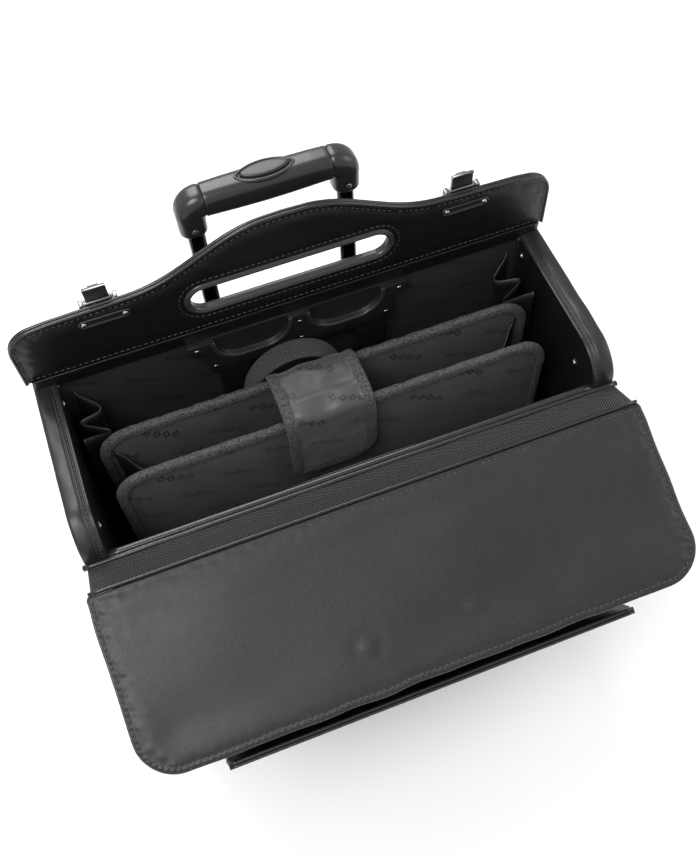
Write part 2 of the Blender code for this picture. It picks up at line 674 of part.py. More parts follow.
def make_wheels(base):
    centre_z = WHEEL_Z
    cylinder("wheel_axle", AXLE_R, (-0.2335, 0.2335), WHEEL_Y, centre_z, STEEL, base, segments=32)
    for side, sign in SIDES:
        cheek_x = mirrored((0.1920, 0.2345), sign)
        top = (BOX_BOTTOM, -0.302)
        profile = rounded(
            [(DEPTH + GAP, top[0], 0), (0.226, top[0], 0.003), (0.226, top[1], 0.018), (DEPTH + GAP, top[1], 0)], 6
        )
        housing = prism(side + "_wheel_housing", [profile], "X", *cheek_x, PLASTIC, base)
        well = cylinder(
            side + "_wheel_well", WHEEL_R + 0.0035, mirrored((0.1975, 0.2285), sign), WHEEL_Y, centre_z,
            parent=base, cutter=True, segments=32,
        )
        bore = cylinder(
            side + "_axle_bore", BORE_R, mirrored((0.190, 0.236), sign), WHEEL_Y, centre_z,
            parent=base, cutter=True, segments=32,
        )
        combine(combine(housing, well), bore)

        half = WHEEL_W / 2
        rim = 0.0215
        tyre = [(rim, -half + 0.001), (WHEEL_R - 0.004, -half), (WHEEL_R - 0.001, -half + 0.003), (WHEEL_R, 0)]
        tyre += [(radius, -x) for radius, x in reversed(tyre[:-1])]
        hub = [(BORE_R, -half), (0.009, -half), (0.0105, -0.004), (0.0175, -0.004), (0.0190, -half + 0.0015)]
        hub += [(rim - GAP, -half + 0.0015)]
        hub += [(radius, -x) for radius, x in reversed(hub)]
        centre = (sign * WHEEL_X, WHEEL_Y, centre_z)
        turned(side + "_tyre", tyre, centre, RUBBER, base)
        turned(side + "_hub", hub, centre, PLASTIC, base)


clear_scene()
PARTS = make_collection("rolling_laptop_case")
CUTTERS = make_collection("cutters")
CUTTERS.hide_render = True
rim = pivot("case_frame", (0, FRONT_Y, RIM_Z))
make_case(rim)
make_sleeve(rim)
make_front_pocket(rim)
make_front_lid(rim)
make_rear_lid(rim)
make_trolley(rim)
make_wheels(rim)
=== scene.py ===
"""Looks of the rolling laptop case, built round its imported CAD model.

Each piece is made in the local axes of the part it belongs to, as if that part were shut: the case
has x across, y from its front face to the back and z up from the rim; a lid, the strip, the carry
handle and the pocket panel have their origin on their hinge. A matrix then puts it in its place.
"""

import json
import math

import bmesh
import bpy
import numpy as np
from mathutils import Matrix, Vector
from mathutils.geometry import delaunay_2d_cdt


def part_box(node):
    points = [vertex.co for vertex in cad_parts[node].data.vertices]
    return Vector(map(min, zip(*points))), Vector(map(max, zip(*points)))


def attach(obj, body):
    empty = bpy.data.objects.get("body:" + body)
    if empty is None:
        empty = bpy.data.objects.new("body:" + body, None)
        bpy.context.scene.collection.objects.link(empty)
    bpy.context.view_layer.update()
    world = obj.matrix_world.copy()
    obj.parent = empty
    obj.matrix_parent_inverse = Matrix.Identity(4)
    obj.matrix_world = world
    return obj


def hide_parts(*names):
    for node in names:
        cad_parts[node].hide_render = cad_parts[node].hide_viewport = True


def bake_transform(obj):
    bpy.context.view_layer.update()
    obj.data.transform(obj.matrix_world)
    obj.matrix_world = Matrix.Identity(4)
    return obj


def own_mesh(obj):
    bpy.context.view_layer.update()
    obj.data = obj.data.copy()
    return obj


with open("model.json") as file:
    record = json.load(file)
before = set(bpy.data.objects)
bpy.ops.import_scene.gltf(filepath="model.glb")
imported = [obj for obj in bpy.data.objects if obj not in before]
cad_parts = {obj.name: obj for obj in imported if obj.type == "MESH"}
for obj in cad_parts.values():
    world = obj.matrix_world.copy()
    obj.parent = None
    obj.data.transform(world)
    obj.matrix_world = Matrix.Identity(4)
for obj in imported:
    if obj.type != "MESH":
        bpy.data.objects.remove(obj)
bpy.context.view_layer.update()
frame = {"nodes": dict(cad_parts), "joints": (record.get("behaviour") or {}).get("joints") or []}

MM = 0.001
SIDES = (("left", -1), ("right", 1))
STITCH_PITCH = 0.0052
STITCH_LENGTH = 0.0034
STITCH_SLANT = 0.12
LEATHER_RINGS = (0.0006, 0.0015, 0.003, 0.0045, 0.0065, 0.009, 0.0125)
OFFSET_SHARE = 0.97


# ---------------------------------------------------------------- places

JOINTS = {joint["name"]: joint for joint in frame["joints"]}


def hinge_place(joint, turn):
    return Matrix.Translation(JOINTS[joint]["pos_m"]) @ Matrix.Rotation(turn, 4, "X")


def range_end(joint, end):
    return math.radians(JOINTS[joint]["range_deg"][end])


FOLD_A = Vector(JOINTS["front_flap_hinge_strip"]["pos_m"])
FOLD_B = Vector(JOINTS["front_flap_hinge"]["pos_m"])
STRIP_TURN = math.atan2(FOLD_B.z - FOLD_A.z, FOLD_B.y - FOLD_A.y)
LID_TURN = -range_end("front_flap_hinge_strip", 0) - range_end("front_flap_hinge", 0)
RIM = Matrix.Translation((0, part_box("front_wall")[0].y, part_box("left_rim_band")[1].z))
STRIP = hinge_place("front_flap_hinge_strip", STRIP_TURN)
LID = hinge_place("front_flap_hinge", LID_TURN)
HANDLE = hinge_place("carry_handle_swing", LID_TURN)
REAR = hinge_place("rear_flap_hinge", 0.0)
POCKET = hinge_place("front_pocket_hinge", range_end("front_pocket_hinge", 1))


def local_box(node, where=RIM):
    """Lowest and highest corner of a CAD node in a part's own axes."""
    turn = np.array(where.inverted())
    points = np.array([vertex.co for vertex in frame["nodes"][node].data.vertices])
    points = points @ turn[:3, :3].T + turn[:3, 3]
    return points.min(0), points.max(0)


# ---------------------------------------------------------------- outlines and lines


def rounded(corners, steps=7):
    """An outline through (a, b, radius) corners, each rounded by an arc of its own radius."""
    points = []
    count = len(corners)
    for i, (a, b, radius) in enumerate(corners):
        if not radius:
            points.append((a, b))
            continue
        before, after = corners[i - 1], corners[(i + 1) % count]
        to_before = math.atan2(before[1] - b, before[0] - a)
        to_after = math.atan2(after[1] - b, after[0] - a)
        half = (to_after - to_before) % math.tau / 2
        if half > math.pi / 2:
            half -= math.pi
        middle = to_before + half
        reach = radius / abs(math.sin(half))
        centre = (a + reach * math.cos(middle), b + reach * math.sin(middle))
        sweep_angle = (math.pi - 2 * abs(half)) * (1 if half < 0 else -1)
        for k in range(steps + 1):
            angle = middle + math.pi + sweep_angle * (k / steps - 0.5)
            points.append((centre[0] + radius * math.cos(angle), centre[1] + radius * math.sin(angle)))
    return points


def rectangle(a, b, radius=0.0, steps=6):
    low_a, high_a = sorted(a)
    low_b, high_b = sorted(b)
    corners = [(low_a, low_b), (high_a, low_b), (high_a, high_b), (low_a, high_b)]
    return rounded([(*corner, radius) for corner in corners], steps)


def plate(half, low, high, low_radius, high_radius, steps):
    """A symmetric plate's outline, with one radius for its low corners and one for its high ones."""
    corners = [(-half, low, low_radius), (half, low, low_radius)]
    return rounded(corners + [(half, high, high_radius), (-half, high, high_radius)], steps)


def obround(half_length, half_height, at=(0, 0), steps=14):
    """A slot's outline, with round ends."""
    centre = half_length - half_height
    points = []
    for sign in (1, -1):
        for k in range(steps + 1):
            t = -math.pi / 2 + math.pi * k / steps
            points.append((
                at[0] + sign * (centre + half_height * math.cos(t)),
                at[1] + sign * half_height * math.sin(t),
            ))
    return points


def lens(half_length, half_width, y):
    """An oval that comes almost to a point at each end."""
    return [
        (half_length * math.cos(t), y + half_width * math.sin(t) * abs(math.sin(t)) ** 0.35)
        for t in (math.tau * k / 48 for k in range(48))
    ]


def circle(radius, at=(0, 0), count=24):
    return [
        (at[0] + radius * math.cos(math.tau * k / count), at[1] + radius * math.sin(math.tau * k / count))
        for k in range(count)
    ]


def run_of(path):
    """Distance along a line to each of its points."""
    steps = np.linalg.norm(np.diff(np.asarray(path, float), axis=0), axis=1)
    return np.concatenate([[0], np.cumsum(steps)])


def resample(points, spacing, closed=False):
    """Evenly spaced points along a line."""
    points = np.asarray(points, float)
    if closed:
        points = np.vstack([points, points[:1]])
    along = run_of(points[:, :3])
    count = max(int(round(along[-1] / spacing)), 1)
    at = np.linspace(0, along[-1], count + 1)
    if closed:
        at = at[:-1]
    return np.stack([np.interp(at, along, column) for column in points.T], 1)


def smooth_line(points, spacing, passes=3):
    """A line through a few points with its corners cut round."""
    points = np.asarray(points, float)
    for _ in range(passes):
        ahead, behind = points[1:], points[:-1]
        cut = np.stack([0.75 * behind + 0.25 * ahead, 0.25 * behind + 0.75 * ahead], 1)
        cut = cut.reshape(-1, points.shape[1])
        points = np.vstack([points[:1], cut, points[-1:]])
    return resample(points, spacing)


def tangents(points, closed=False):
    if closed:
        along = np.roll(points, -1, 0) - np.roll(points, 1, 0)
    else:
        along = np.gradient(points, axis=0)
    return along / np.linalg.norm(along, axis=1)[:, None]


def left_of(line, closed=False):
    """Directions square to a flat line, to its left."""
    along = tangents(line, closed)
    return np.stack([-along[:, 1], along[:, 0]], 1)


def counter_clockwise(points, flip=False):
    points = np.asarray(points, float)
    ahead = np.roll(points, -1, 0)
    area = (points[:, 0] * ahead[:, 1] - ahead[:, 0] * points[:, 1]).sum()
    return points[::-1] if (area < 0) != flip else points


def edge_distance(points, loops):
    """Distance from each point to the nearest of these closed lines."""
    nearest = np.full(len(points), np.inf)
    for loop in loops:
        side = np.roll(loop, -1, 0) - loop
        size = (side**2).sum(1)
        for start in range(0, len(points), 2000):
            part = points[start : start + 2000, None] - loop[None]
            share = np.clip((part * side).sum(2) / size, 0, 1)
            gap = np.linalg.norm(part - share[..., None] * side, axis=2).min(1)
            nearest[start : start + 2000] = np.minimum(nearest[start : start + 2000], gap)
    return nearest


def edge_run(points, loop):
    """How far along a closed line the nearest spot to each point lies."""
    loop = resample(loop, 0.0005, True)
    run = np.arange(len(loop)) * np.linalg.norm(loop[1] - loop[0])
    found = np.empty(len(points))
    for start in range(0, len(points), 500):
        part = points[start : start + 500, None] - loop[None]
        found[start : start + 500] = run[(part**2).sum(2).argmin(1)]
    return found


def inside(points, loop):
    after = np.roll(loop, -1, 0)
    crossings = np.zeros(len(points), int)
    for (ax, ay), (bx, by) in zip(loop, after):
        if ay == by:
            continue
        hit = (points[:, 1] < ay) != (points[:, 1] < by)
        crossings += hit & (points[:, 0] < (bx - ax) * (points[:, 1] - ay) / (by - ay) + ax)
    return crossings % 2 == 1


def inset(outline, distance):
    """The line this far inside an outline, without the loops it would make at tight corners."""
    loop = counter_clockwise(resample(outline, 0.002, True))
    moved = loop + distance * left_of(loop, True)
    return moved[edge_distance(moved, [loop]) > OFFSET_SHARE * distance]


def ripples(points, size, seed):
    """Smooth noise of about -1 to 1: sines of about one size in random directions."""
    draw = np.random.default_rng(seed)
    total = np.zeros(len(points))
    for _ in range(9):
        direction = draw.normal(size=points.shape[1])
        direction *= math.tau / (size * draw.uniform(0.7, 1.5) * np.linalg.norm(direction))
        total += np.sin(points @ direction + draw.uniform(0, math.tau))
    return total / 3


def bell(values, middle, width):
    return np.exp(-(((values - middle) / width) ** 2))


def profile(values, *pairs):
    """A height read from (distance, height) pairs."""
    distances, heights = zip(*pairs)
    return np.interp(values, distances, heights)


# ---------------------------------------------------------------- meshes


class Panel:
    """A flat outline filled with triangles that are fine along its edge.

    uv holds its points, edge their distance to the edge, and flat its triangles.
    """

    def __init__(self, outline, holes=(), step=0.005, rings=LEATHER_RINGS, spacing=0.0022):
        loops = [counter_clockwise(resample(outline, spacing, True))]
        loops += [counter_clockwise(resample(hole, spacing, True), flip=True) for hole in holes]
        points = list(loops)
        for ring in rings:
            for loop in loops:
                line = (loop + ring * left_of(loop, True))[:: 1 if ring < 0.004 else 2]
                keep = (edge_distance(line, loops) > OFFSET_SHARE * ring) & self.holds(line, loops)
                points.append(line[keep])
        low, high = loops[0].min(0), loops[0].max(0)
        rows = np.arange(low[1], high[1], step * 0.866)
        grid = np.array([
            (a + (k % 2) * step / 2, b) for k, b in enumerate(rows) for a in np.arange(low[0], high[0], step)
        ])
        grid = grid[self.holds(grid, loops)]
        last = rings[-1] if rings else 0
        points.append(grid[edge_distance(grid, loops) > last + step * 0.6])
        count = 0
        edges = []
        for loop in loops:
            edges += [(count + i, count + (i + 1) % len(loop)) for i in range(len(loop))]
            count += len(loop)
        flat = np.vstack(points)
        found = delaunay_2d_cdt([Vector(p) for p in (flat * 1000).tolist()], edges, [], 0, 1e-5)
        self.uv = np.array([tuple(p) for p in found[0]]) / 1000
        self.flat = np.array([face for face in found[2] if len(face) == 3])
        middles = self.uv[self.flat].mean(1)
        self.flat = self.flat[self.holds(middles, loops)]
        self.edge = edge_distance(self.uv, loops)
        self.loops = loops

    @staticmethod
    def holds(points, loops):
        kept = inside(points, loops[0])
        for hole in loops[1:]:
            kept &= ~inside(points, hole)
        return kept

    def solid(self, top, bottom, lay=None):
        """Closed body between two heights for each point. kinds then says where each face is:
        0 on the top, 1 on the bottom and 2 round the edge."""
        count = len(self.uv)
        top = np.broadcast_to(top, count)
        bottom = np.broadcast_to(bottom, count)
        points = np.vstack([np.c_[self.uv, top], np.c_[self.uv, bottom]])
        directed = np.vstack([self.flat[:, [0, 1]], self.flat[:, [1, 2]], self.flat[:, [2, 0]]])
        known = {tuple(edge) for edge in directed.tolist()}
        rim = [(a, b) for a, b in directed.tolist() if (b, a) not in known]
        faces = self.flat.tolist() + (self.flat[:, ::-1] + count).tolist()
        faces += [(b, a, a + count, b + count) for a, b in rim]
        self.kinds = np.repeat((0, 1, 2), (len(self.flat), len(self.flat), len(rim)))
        return lay(points) if lay else points, faces


def across_z(points):
    """Thickness goes along z: the panel lies flat, as a lid does."""
    return points


def across_y(points):
    """Thickness goes along y: the panel stands facing the front."""
    return points[:, [0, 2, 1]]


def across_x(points):
    """Thickness goes along x: the panel stands facing a side, with (y, z) outlines."""
    return points[:, [2, 0, 1]]


def bent(points, path, outward=1):
    """Bends a panel of (x, distance, height) points along a (y, z) path."""
    path = resample(path, 0.001)
    normal = outward * left_of(path)
    run = run_of(path)
    place = np.stack([np.interp(points[:, 1], run, path[:, k]) for k in (0, 1)], 1)
    lean = np.stack([np.interp(points[:, 1], run, normal[:, k]) for k in (0, 1)], 1)
    lean /= np.linalg.norm(lean, axis=1)[:, None]
    return np.c_[points[:, 0], place + lean * points[:, 2:3]]


def skin(rows, sides, closed=False):
    """Faces over rows of a closed section: a ring of rows if closed, or else with both ends filled."""
    faces = []
    for i in range(rows if closed else rows - 1):
        here, there = i * sides, (i + 1) % rows * sides
        for j in range(sides):
            k = (j + 1) % sides
            faces.append((here + j, here + k, there + k, there + j))
    if not closed:
        faces += [tuple(range(sides)), tuple(range((rows - 1) * sides, rows * sides))]
    return faces


def sweep(path, outward, up, section, closed=False):
    """A closed section of (outward, up) offsets carried along a path."""
    path = np.asarray(path, float)
    outward = np.broadcast_to(outward, path.shape)
    up = np.broadcast_to(up, path.shape)
    section = np.asarray(section, float)
    points = (
        path[:, None] + section[None, :, :1] * outward[:, None] + section[None, :, 1:2] * up[:, None]
    ).reshape(-1, 3)
    return points, skin(len(path), len(section), closed)


def edge_sweep(outline, section, lay=across_z, closed=True, height=0.0, spacing=0.003):
    """A section carried along an outline: its first offset points out of the outline."""
    line = resample(outline, spacing, closed)
    if closed:
        line = counter_clockwise(line)
    along = tangents(line, closed)
    outward = lay(np.c_[along[:, 1], -along[:, 0], np.zeros(len(line))])
    up = lay(np.array([[0.0, 0.0, 1.0]]))
    return sweep(lay(np.c_[line, np.full(len(line), height)]), outward, up, section, closed)


def bead(radius, at=(0.0, 0.0)):
    return circle(radius, at, 10)


def tube(path, radius, sides=10, up=(0, 0, 1)):
    """A round bar along a line that never runs along up."""
    path = np.asarray(path, float)
    along = tangents(path)
    outward = np.cross(along, up)
    outward /= np.linalg.norm(outward, axis=1)[:, None]
    return sweep(path, outward, np.cross(outward, along), circle(radius, count=sides))


def merged(*shapes):
    """Several (points, faces) shapes as one."""
    points, faces, count = [], [], 0
    for shape in shapes:
        points.append(shape[0])
        faces += [tuple(i + count for i in face) for face in shape[1]]
        count += len(shape[0])
    return np.vstack(points), faces


def mirrored(shape, sign):
    """A shape for the right side, or its mirror image for the left."""
    return shape[0] * (sign, 1, 1), shape[1]


def stitches(line, up, closed=False, pitch=STITCH_PITCH, length=STITCH_LENGTH, radius=0.00045):
    """Thread along a seam: one spindle for each stitch. up is the surface's normal."""
    line = np.asarray(line, float)
    both = np.c_[line, np.broadcast_to(up, line.shape)]
    spots = resample(both, pitch, closed)
    middles, up = spots[:, :3], spots[:, 3:]
    up = up / np.linalg.norm(up, axis=1)[:, None]
    along = tangents(middles, closed)
    side = np.cross(up, along)
    along = along + STITCH_SLANT * side
    shapes = []
    for where, forward, out, across in zip(middles, along, up, side):
        path = [where + forward * length / 2 * t for t in (-1, -0.7, 0, 0.7, 1)]
        rings = []
        for spot, swell in zip(path, (0.2, 0.8, 1, 0.8, 0.2)):
            rings.append([spot + radius * swell * (a * across + b * out) for a, b in circle(1, count=6)])
        shapes.append((np.array(rings).reshape(-1, 3), skin(5, 6)))
    return merged(*shapes)


def dome(radius, height, at, up, sides=16):
    """A rivet's or screw's head on a surface, with its flat side sunk a little."""
    up = Vector(up).normalized()
    across = up.orthogonal().normalized()
    other = up.cross(across)
    rings = [(1.0, -0.35), (1.0, 0.0), (0.92, 0.45), (0.7, 0.8), (0.35, 0.97)]
    points = []
    for wide, high in rings:
        for a, b in circle(radius * wide, count=sides):
            points.append(Vector(at) + across * a + other * b + up * (height * high))
    points.append(Vector(at) + up * height)
    *faces, base, _ = skin(len(rings), sides)
    last = (len(rings) - 1) * sides
    faces += [(last + j, last + (j + 1) % sides, len(points) - 1) for j in range(sides)]
    return np.array([tuple(point) for point in points]), faces + [base]


def piece(name, shape, materials, nodes=(), body="case", where=RIM, index=None, sharp=None):
    """A finished mesh at its place, riding on its body and standing for its CAD nodes.
    """
    points, faces = shape
    materials = materials if isinstance(materials, list) else [materials]
    turn = np.array(where)
    points = points @ turn[:3, :3].T + turn[:3, 3]
    mesh = bpy.data.meshes.new(name)
    mesh.from_pydata(points.tolist(), [], [tuple(face) for face in faces])
    for material in materials:
        mesh.materials.append(material)
    if index is not None:
        mesh.polygons.foreach_set("material_index", np.asarray(index, np.int32))
    edit = bmesh.new()
    edit.from_mesh(mesh)
    bmesh.ops.recalc_face_normals(edit, faces=edit.faces)
    edit.to_mesh(mesh)
    edit.free()
    mesh.shade_smooth()
    if sharp:
        mesh.set_sharp_from_angle(angle=math.radians(sharp))
    obj = bpy.data.objects.new(name, mesh)
    bpy.context.scene.collection.objects.link(obj)
    if body:
        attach(obj, body)
    if nodes:
        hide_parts(*nodes)
    return obj


def soften(node, width, material, segments=2, angle=35):
    """A CAD node as it is, with its edges eased and a finished material."""
    obj = frame["nodes"][node]
    obj.data.materials.clear()
    obj.data.materials.append(material)
    if width:
        weld = obj.modifiers.new("weld", "WELD")
        weld.merge_threshold = 0.00001
        bevel = obj.modifiers.new("eased", "BEVEL")
        bevel.width = width
        bevel.segments = segments
        bevel.limit_method = "ANGLE"
        bevel.angle_limit = math.radians(angle)
    obj.data.shade_smooth()
    obj.data.set_sharp_from_angle(angle=math.radians(35))


def apply_modifiers(obj):
    graph = bpy.context.evaluated_depsgraph_get()
    mesh = bpy.data.meshes.new_from_object(obj.evaluated_get(graph))
    obj.modifiers.clear()
    obj.data = mesh
    return mesh


def coordinates(mesh):
    points = np.empty(len(mesh.vertices) * 3, np.float32)
    mesh.vertices.foreach_get("co", points)
    return points.reshape(-1, 3).astype(float)


def inflate(obj, hold):
    """Fills a closed form like a cushion. hold(points) says how much of the swelling each point keeps."""
    voxel, pressure, cap, frames = 0.005, 4.0, 0.0030, 20
    remesh = obj.modifiers.new("remesh", "REMESH")
    remesh.mode = "VOXEL"
    remesh.voxel_size = voxel
    bpy.context.view_layer.update()
    mesh = apply_modifiers(obj)
    start = coordinates(mesh)
    cloth = obj.modifiers.new("cloth", "CLOTH")
    cloth.settings.use_pressure = True
    cloth.settings.uniform_pressure_force = pressure
    cloth.settings.effector_weights.gravity = 0
    cloth.settings.quality = 4
    scene = bpy.context.scene
    for number in range(1, frames + 1):
        scene.frame_set(number)
    graph = bpy.context.evaluated_depsgraph_get()
    swollen = coordinates(obj.evaluated_get(graph).to_mesh())
    obj.modifiers.clear()
    scene.frame_set(1)
    move = swollen - start
    size = np.linalg.norm(move, axis=1)[:, None]
    move *= np.minimum(1, cap / np.maximum(size, 1e-9))
    start = start + move * hold(start)[:, None]
    mesh.vertices.foreach_set("co", start.astype(np.float32).ravel())
    mesh.update()
    mesh.shade_smooth()
    smooth = obj.modifiers.new("fine", "SUBSURF")
    smooth.levels = smooth.render_levels = 1


# ---------------------------------------------------------------- materials


class Surface:
    """A material with short calls for its procedural nodes. Patterns sit still on the piece."""

    def __init__(self, name, colour, roughness, **settings):
        self.material = bpy.data.materials.new(name)
        self.material.use_nodes = True
        self.tree = self.material.node_tree
        self.shader = self.tree.nodes["Principled BSDF"]
        self.base, self.rough = colour, roughness
        self.shader.inputs["Base Color"].default_value = (*colour, 1)
        self.shader.inputs["Roughness"].default_value = roughness
        for key, value in settings.items():
            self.shader.inputs[key.replace("_", " ")].default_value = value
        self.place = self.node("ShaderNodeTexCoord").outputs["Object"]

    def node(self, kind, **settings):
        made = self.tree.nodes.new(kind)
        for key, value in settings.items():
            setattr(made, key, value)
        return made

    def feed(self, socket, value):
        if isinstance(value, bpy.types.NodeSocket):
            self.tree.links.new(value, socket)
        else:
            socket.default_value = value

    def noise(self, size, detail=2.0, stretch=None):
        """Smooth noise with bumps of about this size in metres, from 0 to 1."""
        place = self.place
        if stretch:
            place = self.vector("MULTIPLY", place, stretch)
        made = self.node("ShaderNodeTexNoise")
        self.feed(made.inputs["Vector"], place)
        made.inputs["Scale"].default_value = 1 / size
        made.inputs["Detail"].default_value = detail
        return made.outputs["Fac"]

    def cells(self, size):
        made = self.node("ShaderNodeTexVoronoi")
        self.feed(made.inputs["Vector"], self.place)
        made.inputs["Scale"].default_value = 1 / size
        return made.outputs["Distance"]

    def vector(self, operation, a, b):
        made = self.node("ShaderNodeVectorMath", operation=operation)
        self.feed(made.inputs[0], a)
        self.feed(made.inputs[1], b)
        return made.outputs["Value" if operation == "DOT_PRODUCT" else "Vector"]

    def along(self, direction):
        """Distance along a direction, in metres."""
        return self.vector("DOT_PRODUCT", self.place, tuple(direction))

    def math(self, operation, a, b=0.0, c=0.0):
        made = self.node("ShaderNodeMath", operation=operation)
        for socket, value in zip(made.inputs, (a, b, c)):
            self.feed(socket, value)
        return made.outputs[0]

    def wave(self, value, pitch):
        """A triangle wave from 0 to 1 along a distance."""
        turn = self.math("FRACT", self.math("DIVIDE", value, pitch))
        return self.math("ABSOLUTE", self.math("MULTIPLY_ADD", turn, 2.0, -1.0))

    def between(self, value, low, high):
        """A value from 0 to 1 as one from low to high."""
        made = self.node("ShaderNodeMapRange")
        self.feed(made.inputs["Value"], value)
        self.feed(made.inputs["To Min"], low)
        self.feed(made.inputs["To Max"], high)
        return made.outputs["Result"]

    def contrast(self, value, low, high):
        """0 below low, 1 above high."""
        made = self.node("ShaderNodeMapRange", interpolation_type="SMOOTHSTEP")
        self.feed(made.inputs["Value"], value)
        made.inputs["From Min"].default_value = low
        made.inputs["From Max"].default_value = high
        return made.outputs["Result"]

    def tint(self, value, dark=0.8, light=1.2, base=None):
        """Colours the surface from a darker to a lighter shade of its base, or of another colour socket."""
        made = self.node("ShaderNodeMix", data_type="RGBA")
        self.feed(made.inputs["Factor"], value)
        for socket, shade in zip((made.inputs[6], made.inputs[7]), (dark, light)):
            if base is None:
                socket.default_value = (*[channel * shade for channel in self.base], 1)
            else:
                scaled = self.node("ShaderNodeVectorMath", operation="SCALE")
                self.feed(scaled.inputs[0], base)
                scaled.inputs["Scale"].default_value = shade
                self.feed(socket, scaled.outputs[0])
        self.feed(self.shader.inputs["Base Color"], made.outputs[2])
        return made.outputs[2]

    def gloss(self, value, low, high):
        self.feed(self.shader.inputs["Roughness"], self.between(value, self.rough + low, self.rough + high))

    def bump(self, height, distance, strength=1.0, under=None):
        made = self.node("ShaderNodeBump")
        made.inputs["Strength"].default_value = strength
        made.inputs["Distance"].default_value = distance
        self.feed(made.inputs["Height"], height)
        if under is not None:
            self.feed(made.inputs["Normal"], under)
        self.feed(self.shader.inputs["Normal"], made.outputs[0])
        return made.outputs[0]


def leather(name, colour, roughness, depth=0.00006, mottle=0.16, **settings):
    """Smooth finished leather: shallow pores, fine creases and slow changes of gloss."""
    made = Surface(name, colour, roughness, **settings)
    shade = made.tint(made.noise(0.045, 4), 1 - mottle, 1 + mottle)
    made.tint(made.contrast(made.noise(0.0012, 2), 0.3, 0.7), 0.72, 1.28, base=shade)
    grain = 0.0012
    pores = made.contrast(made.cells(grain), 0.05, 0.55)
    fine = made.noise(grain * 0.5, 3)
    height = made.math("MULTIPLY_ADD", fine, 0.45, pores)
    made.bump(height, depth, 0.7, made.bump(made.noise(0.018, 3), 0.0004, 0.25))
    made.gloss(made.noise(0.012, 3), -0.05, 0.07)
    return made.material


def lining(name, colour, roughness, across=(1, 0, 0), down=(0, 0, 1), motif=True, **settings):
    """Satin nylon with a tone-on-tone chain of small lozenges woven in staggered slanting rows."""
    made = Surface(name, colour, roughness, **settings)
    slant = math.radians(-24)
    a, b = Vector(across), Vector(down)
    u = made.along(a * math.cos(slant) + b * math.sin(slant))
    v = made.along(b * math.cos(slant) - a * math.sin(slant))
    shade = made.tint(made.noise(0.03, 4), 0.86, 1.16)
    if motif:
        row_pitch, column_pitch, chain, lozenge = 0.029, 0.060, 0.034, 0.0085
        row = made.math("DIVIDE", v, row_pitch)
        shifted = made.math("MULTIPLY_ADD", made.math("FLOOR", row), 0.5 * column_pitch, u)
        column = made.math("DIVIDE", shifted, column_pitch)
        share = made.math("SUBTRACT", made.math("FRACT", column), 0.5)
        from_middle = made.math("MULTIPLY", share, column_pitch)
        in_chain = made.math("LESS_THAN", made.math("ABSOLUTE", from_middle), chain / 2)
        height = made.math("MULTIPLY", made.math("SUBTRACT", made.math("FRACT", row), 0.5), row_pitch)
        link = made.math("FRACT", made.math("DIVIDE", made.math("ADD", from_middle, chain / 2), lozenge))
        wide = made.math("MULTIPLY", made.math("ABSOLUTE", made.math("SUBTRACT", link, 0.5)), 2.0)
        tall = made.math("DIVIDE", made.math("ABSOLUTE", height), 0.0040)
        span = made.math("ADD", wide, tall)
        ring = made.math("LESS_THAN", made.math("ABSOLUTE", made.math("SUBTRACT", span, 0.70)), 0.28)
        mark = made.math("MULTIPLY", ring, in_chain)
        made.tint(mark, 1.0, 0.22, base=shade)
    weave = made.math("MULTIPLY", made.wave(u, 0.0008), made.wave(v, 0.0006))
    made.bump(weave, 0.00005, 0.5, made.bump(made.noise(0.011, 4), 0.0009, 0.35))
    made.gloss(made.noise(0.02, 3), -0.06, 0.08)
    return made.material


def herringbone(name, colour, along, across, middle):
    """Ribbed nylon tape: slanting cords that meet in a point along the middle of the tape. Its colour carries painted
    shade in the grooves and painted highlights on the cord tops.
    """
    made = Surface(name, colour, 0.55, Specular_IOR_Level=0.35)
    step = made.math("ABSOLUTE", made.math("SUBTRACT", made.along(across), middle))
    slanted = made.math("MULTIPLY_ADD", step, 1.15, made.along(along))
    cords = made.wave(slanted, 0.0032)
    threads = made.wave(step, 0.0011)
    relief = made.math("MULTIPLY_ADD", threads, 0.45, cords)
    # painted shade and highlight: the colour follows the relief, near black in the grooves and light on the cords
    made.tint(made.contrast(relief, 0.55, 1.05), 0.02, 4.2)
    made.bump(relief, 0.0010, 1.0)
    return made.material


def knit(name, colour, size=0.0016):
    """Binding tape with a coarse nubby weave, with painted shade between the nubs and painted highlights on their
    tops.
    """
    made = Surface(name, colour, 0.68, Sheen_Weight=0.06)
    nubs = made.cells(size)
    threads = made.noise(size * 0.45, 2)
    relief = made.math("MULTIPLY_ADD", threads, 0.6, nubs)
    # painted shade and highlight: the colour follows the relief, dark between the nubs and light on their tops
    made.tint(made.contrast(relief, 0.45, 0.88), 0.08, 3.0)
    made.bump(relief, 0.0008, 1.0)
    return made.material


def thread(name, colour, roughness):
    made = Surface(name, colour, roughness)
    made.tint(made.noise(0.004, 2), 0.6, 1.3)
    return made.material


def plastic(name, colour, roughness, grain=0.0007, depth=0.00004, **settings):
    """Moulded plastic with a fine spark texture."""
    made = Surface(name, colour, roughness, **settings)
    made.tint(made.noise(0.03, 3), 0.88, 1.12)
    made.bump(made.noise(grain, 3), depth, 0.6)
    made.gloss(made.noise(0.02, 4), -0.05, 0.07)
    return made.material


def metal(name, colour, roughness, brushed=(1, 1, 1), **settings):
    made = Surface(name, colour, roughness, Metallic=1.0, **settings)
    made.tint(made.noise(0.02, 3), 0.9, 1.1)
    made.bump(made.noise(0.0009, 2, brushed), 0.00003, 0.5)
    made.gloss(made.noise(0.006, 3), -0.06, 0.08)
    return made.material


STRIP_AXIS = STRIP.to_3x3() @ Vector((0, 1, 0))
STRIP_MIDDLE = (STRIP @ Vector((0, local_box("front_hinge_strip", STRIP)[1][1] / 2, 0))).dot(STRIP_AXIS)

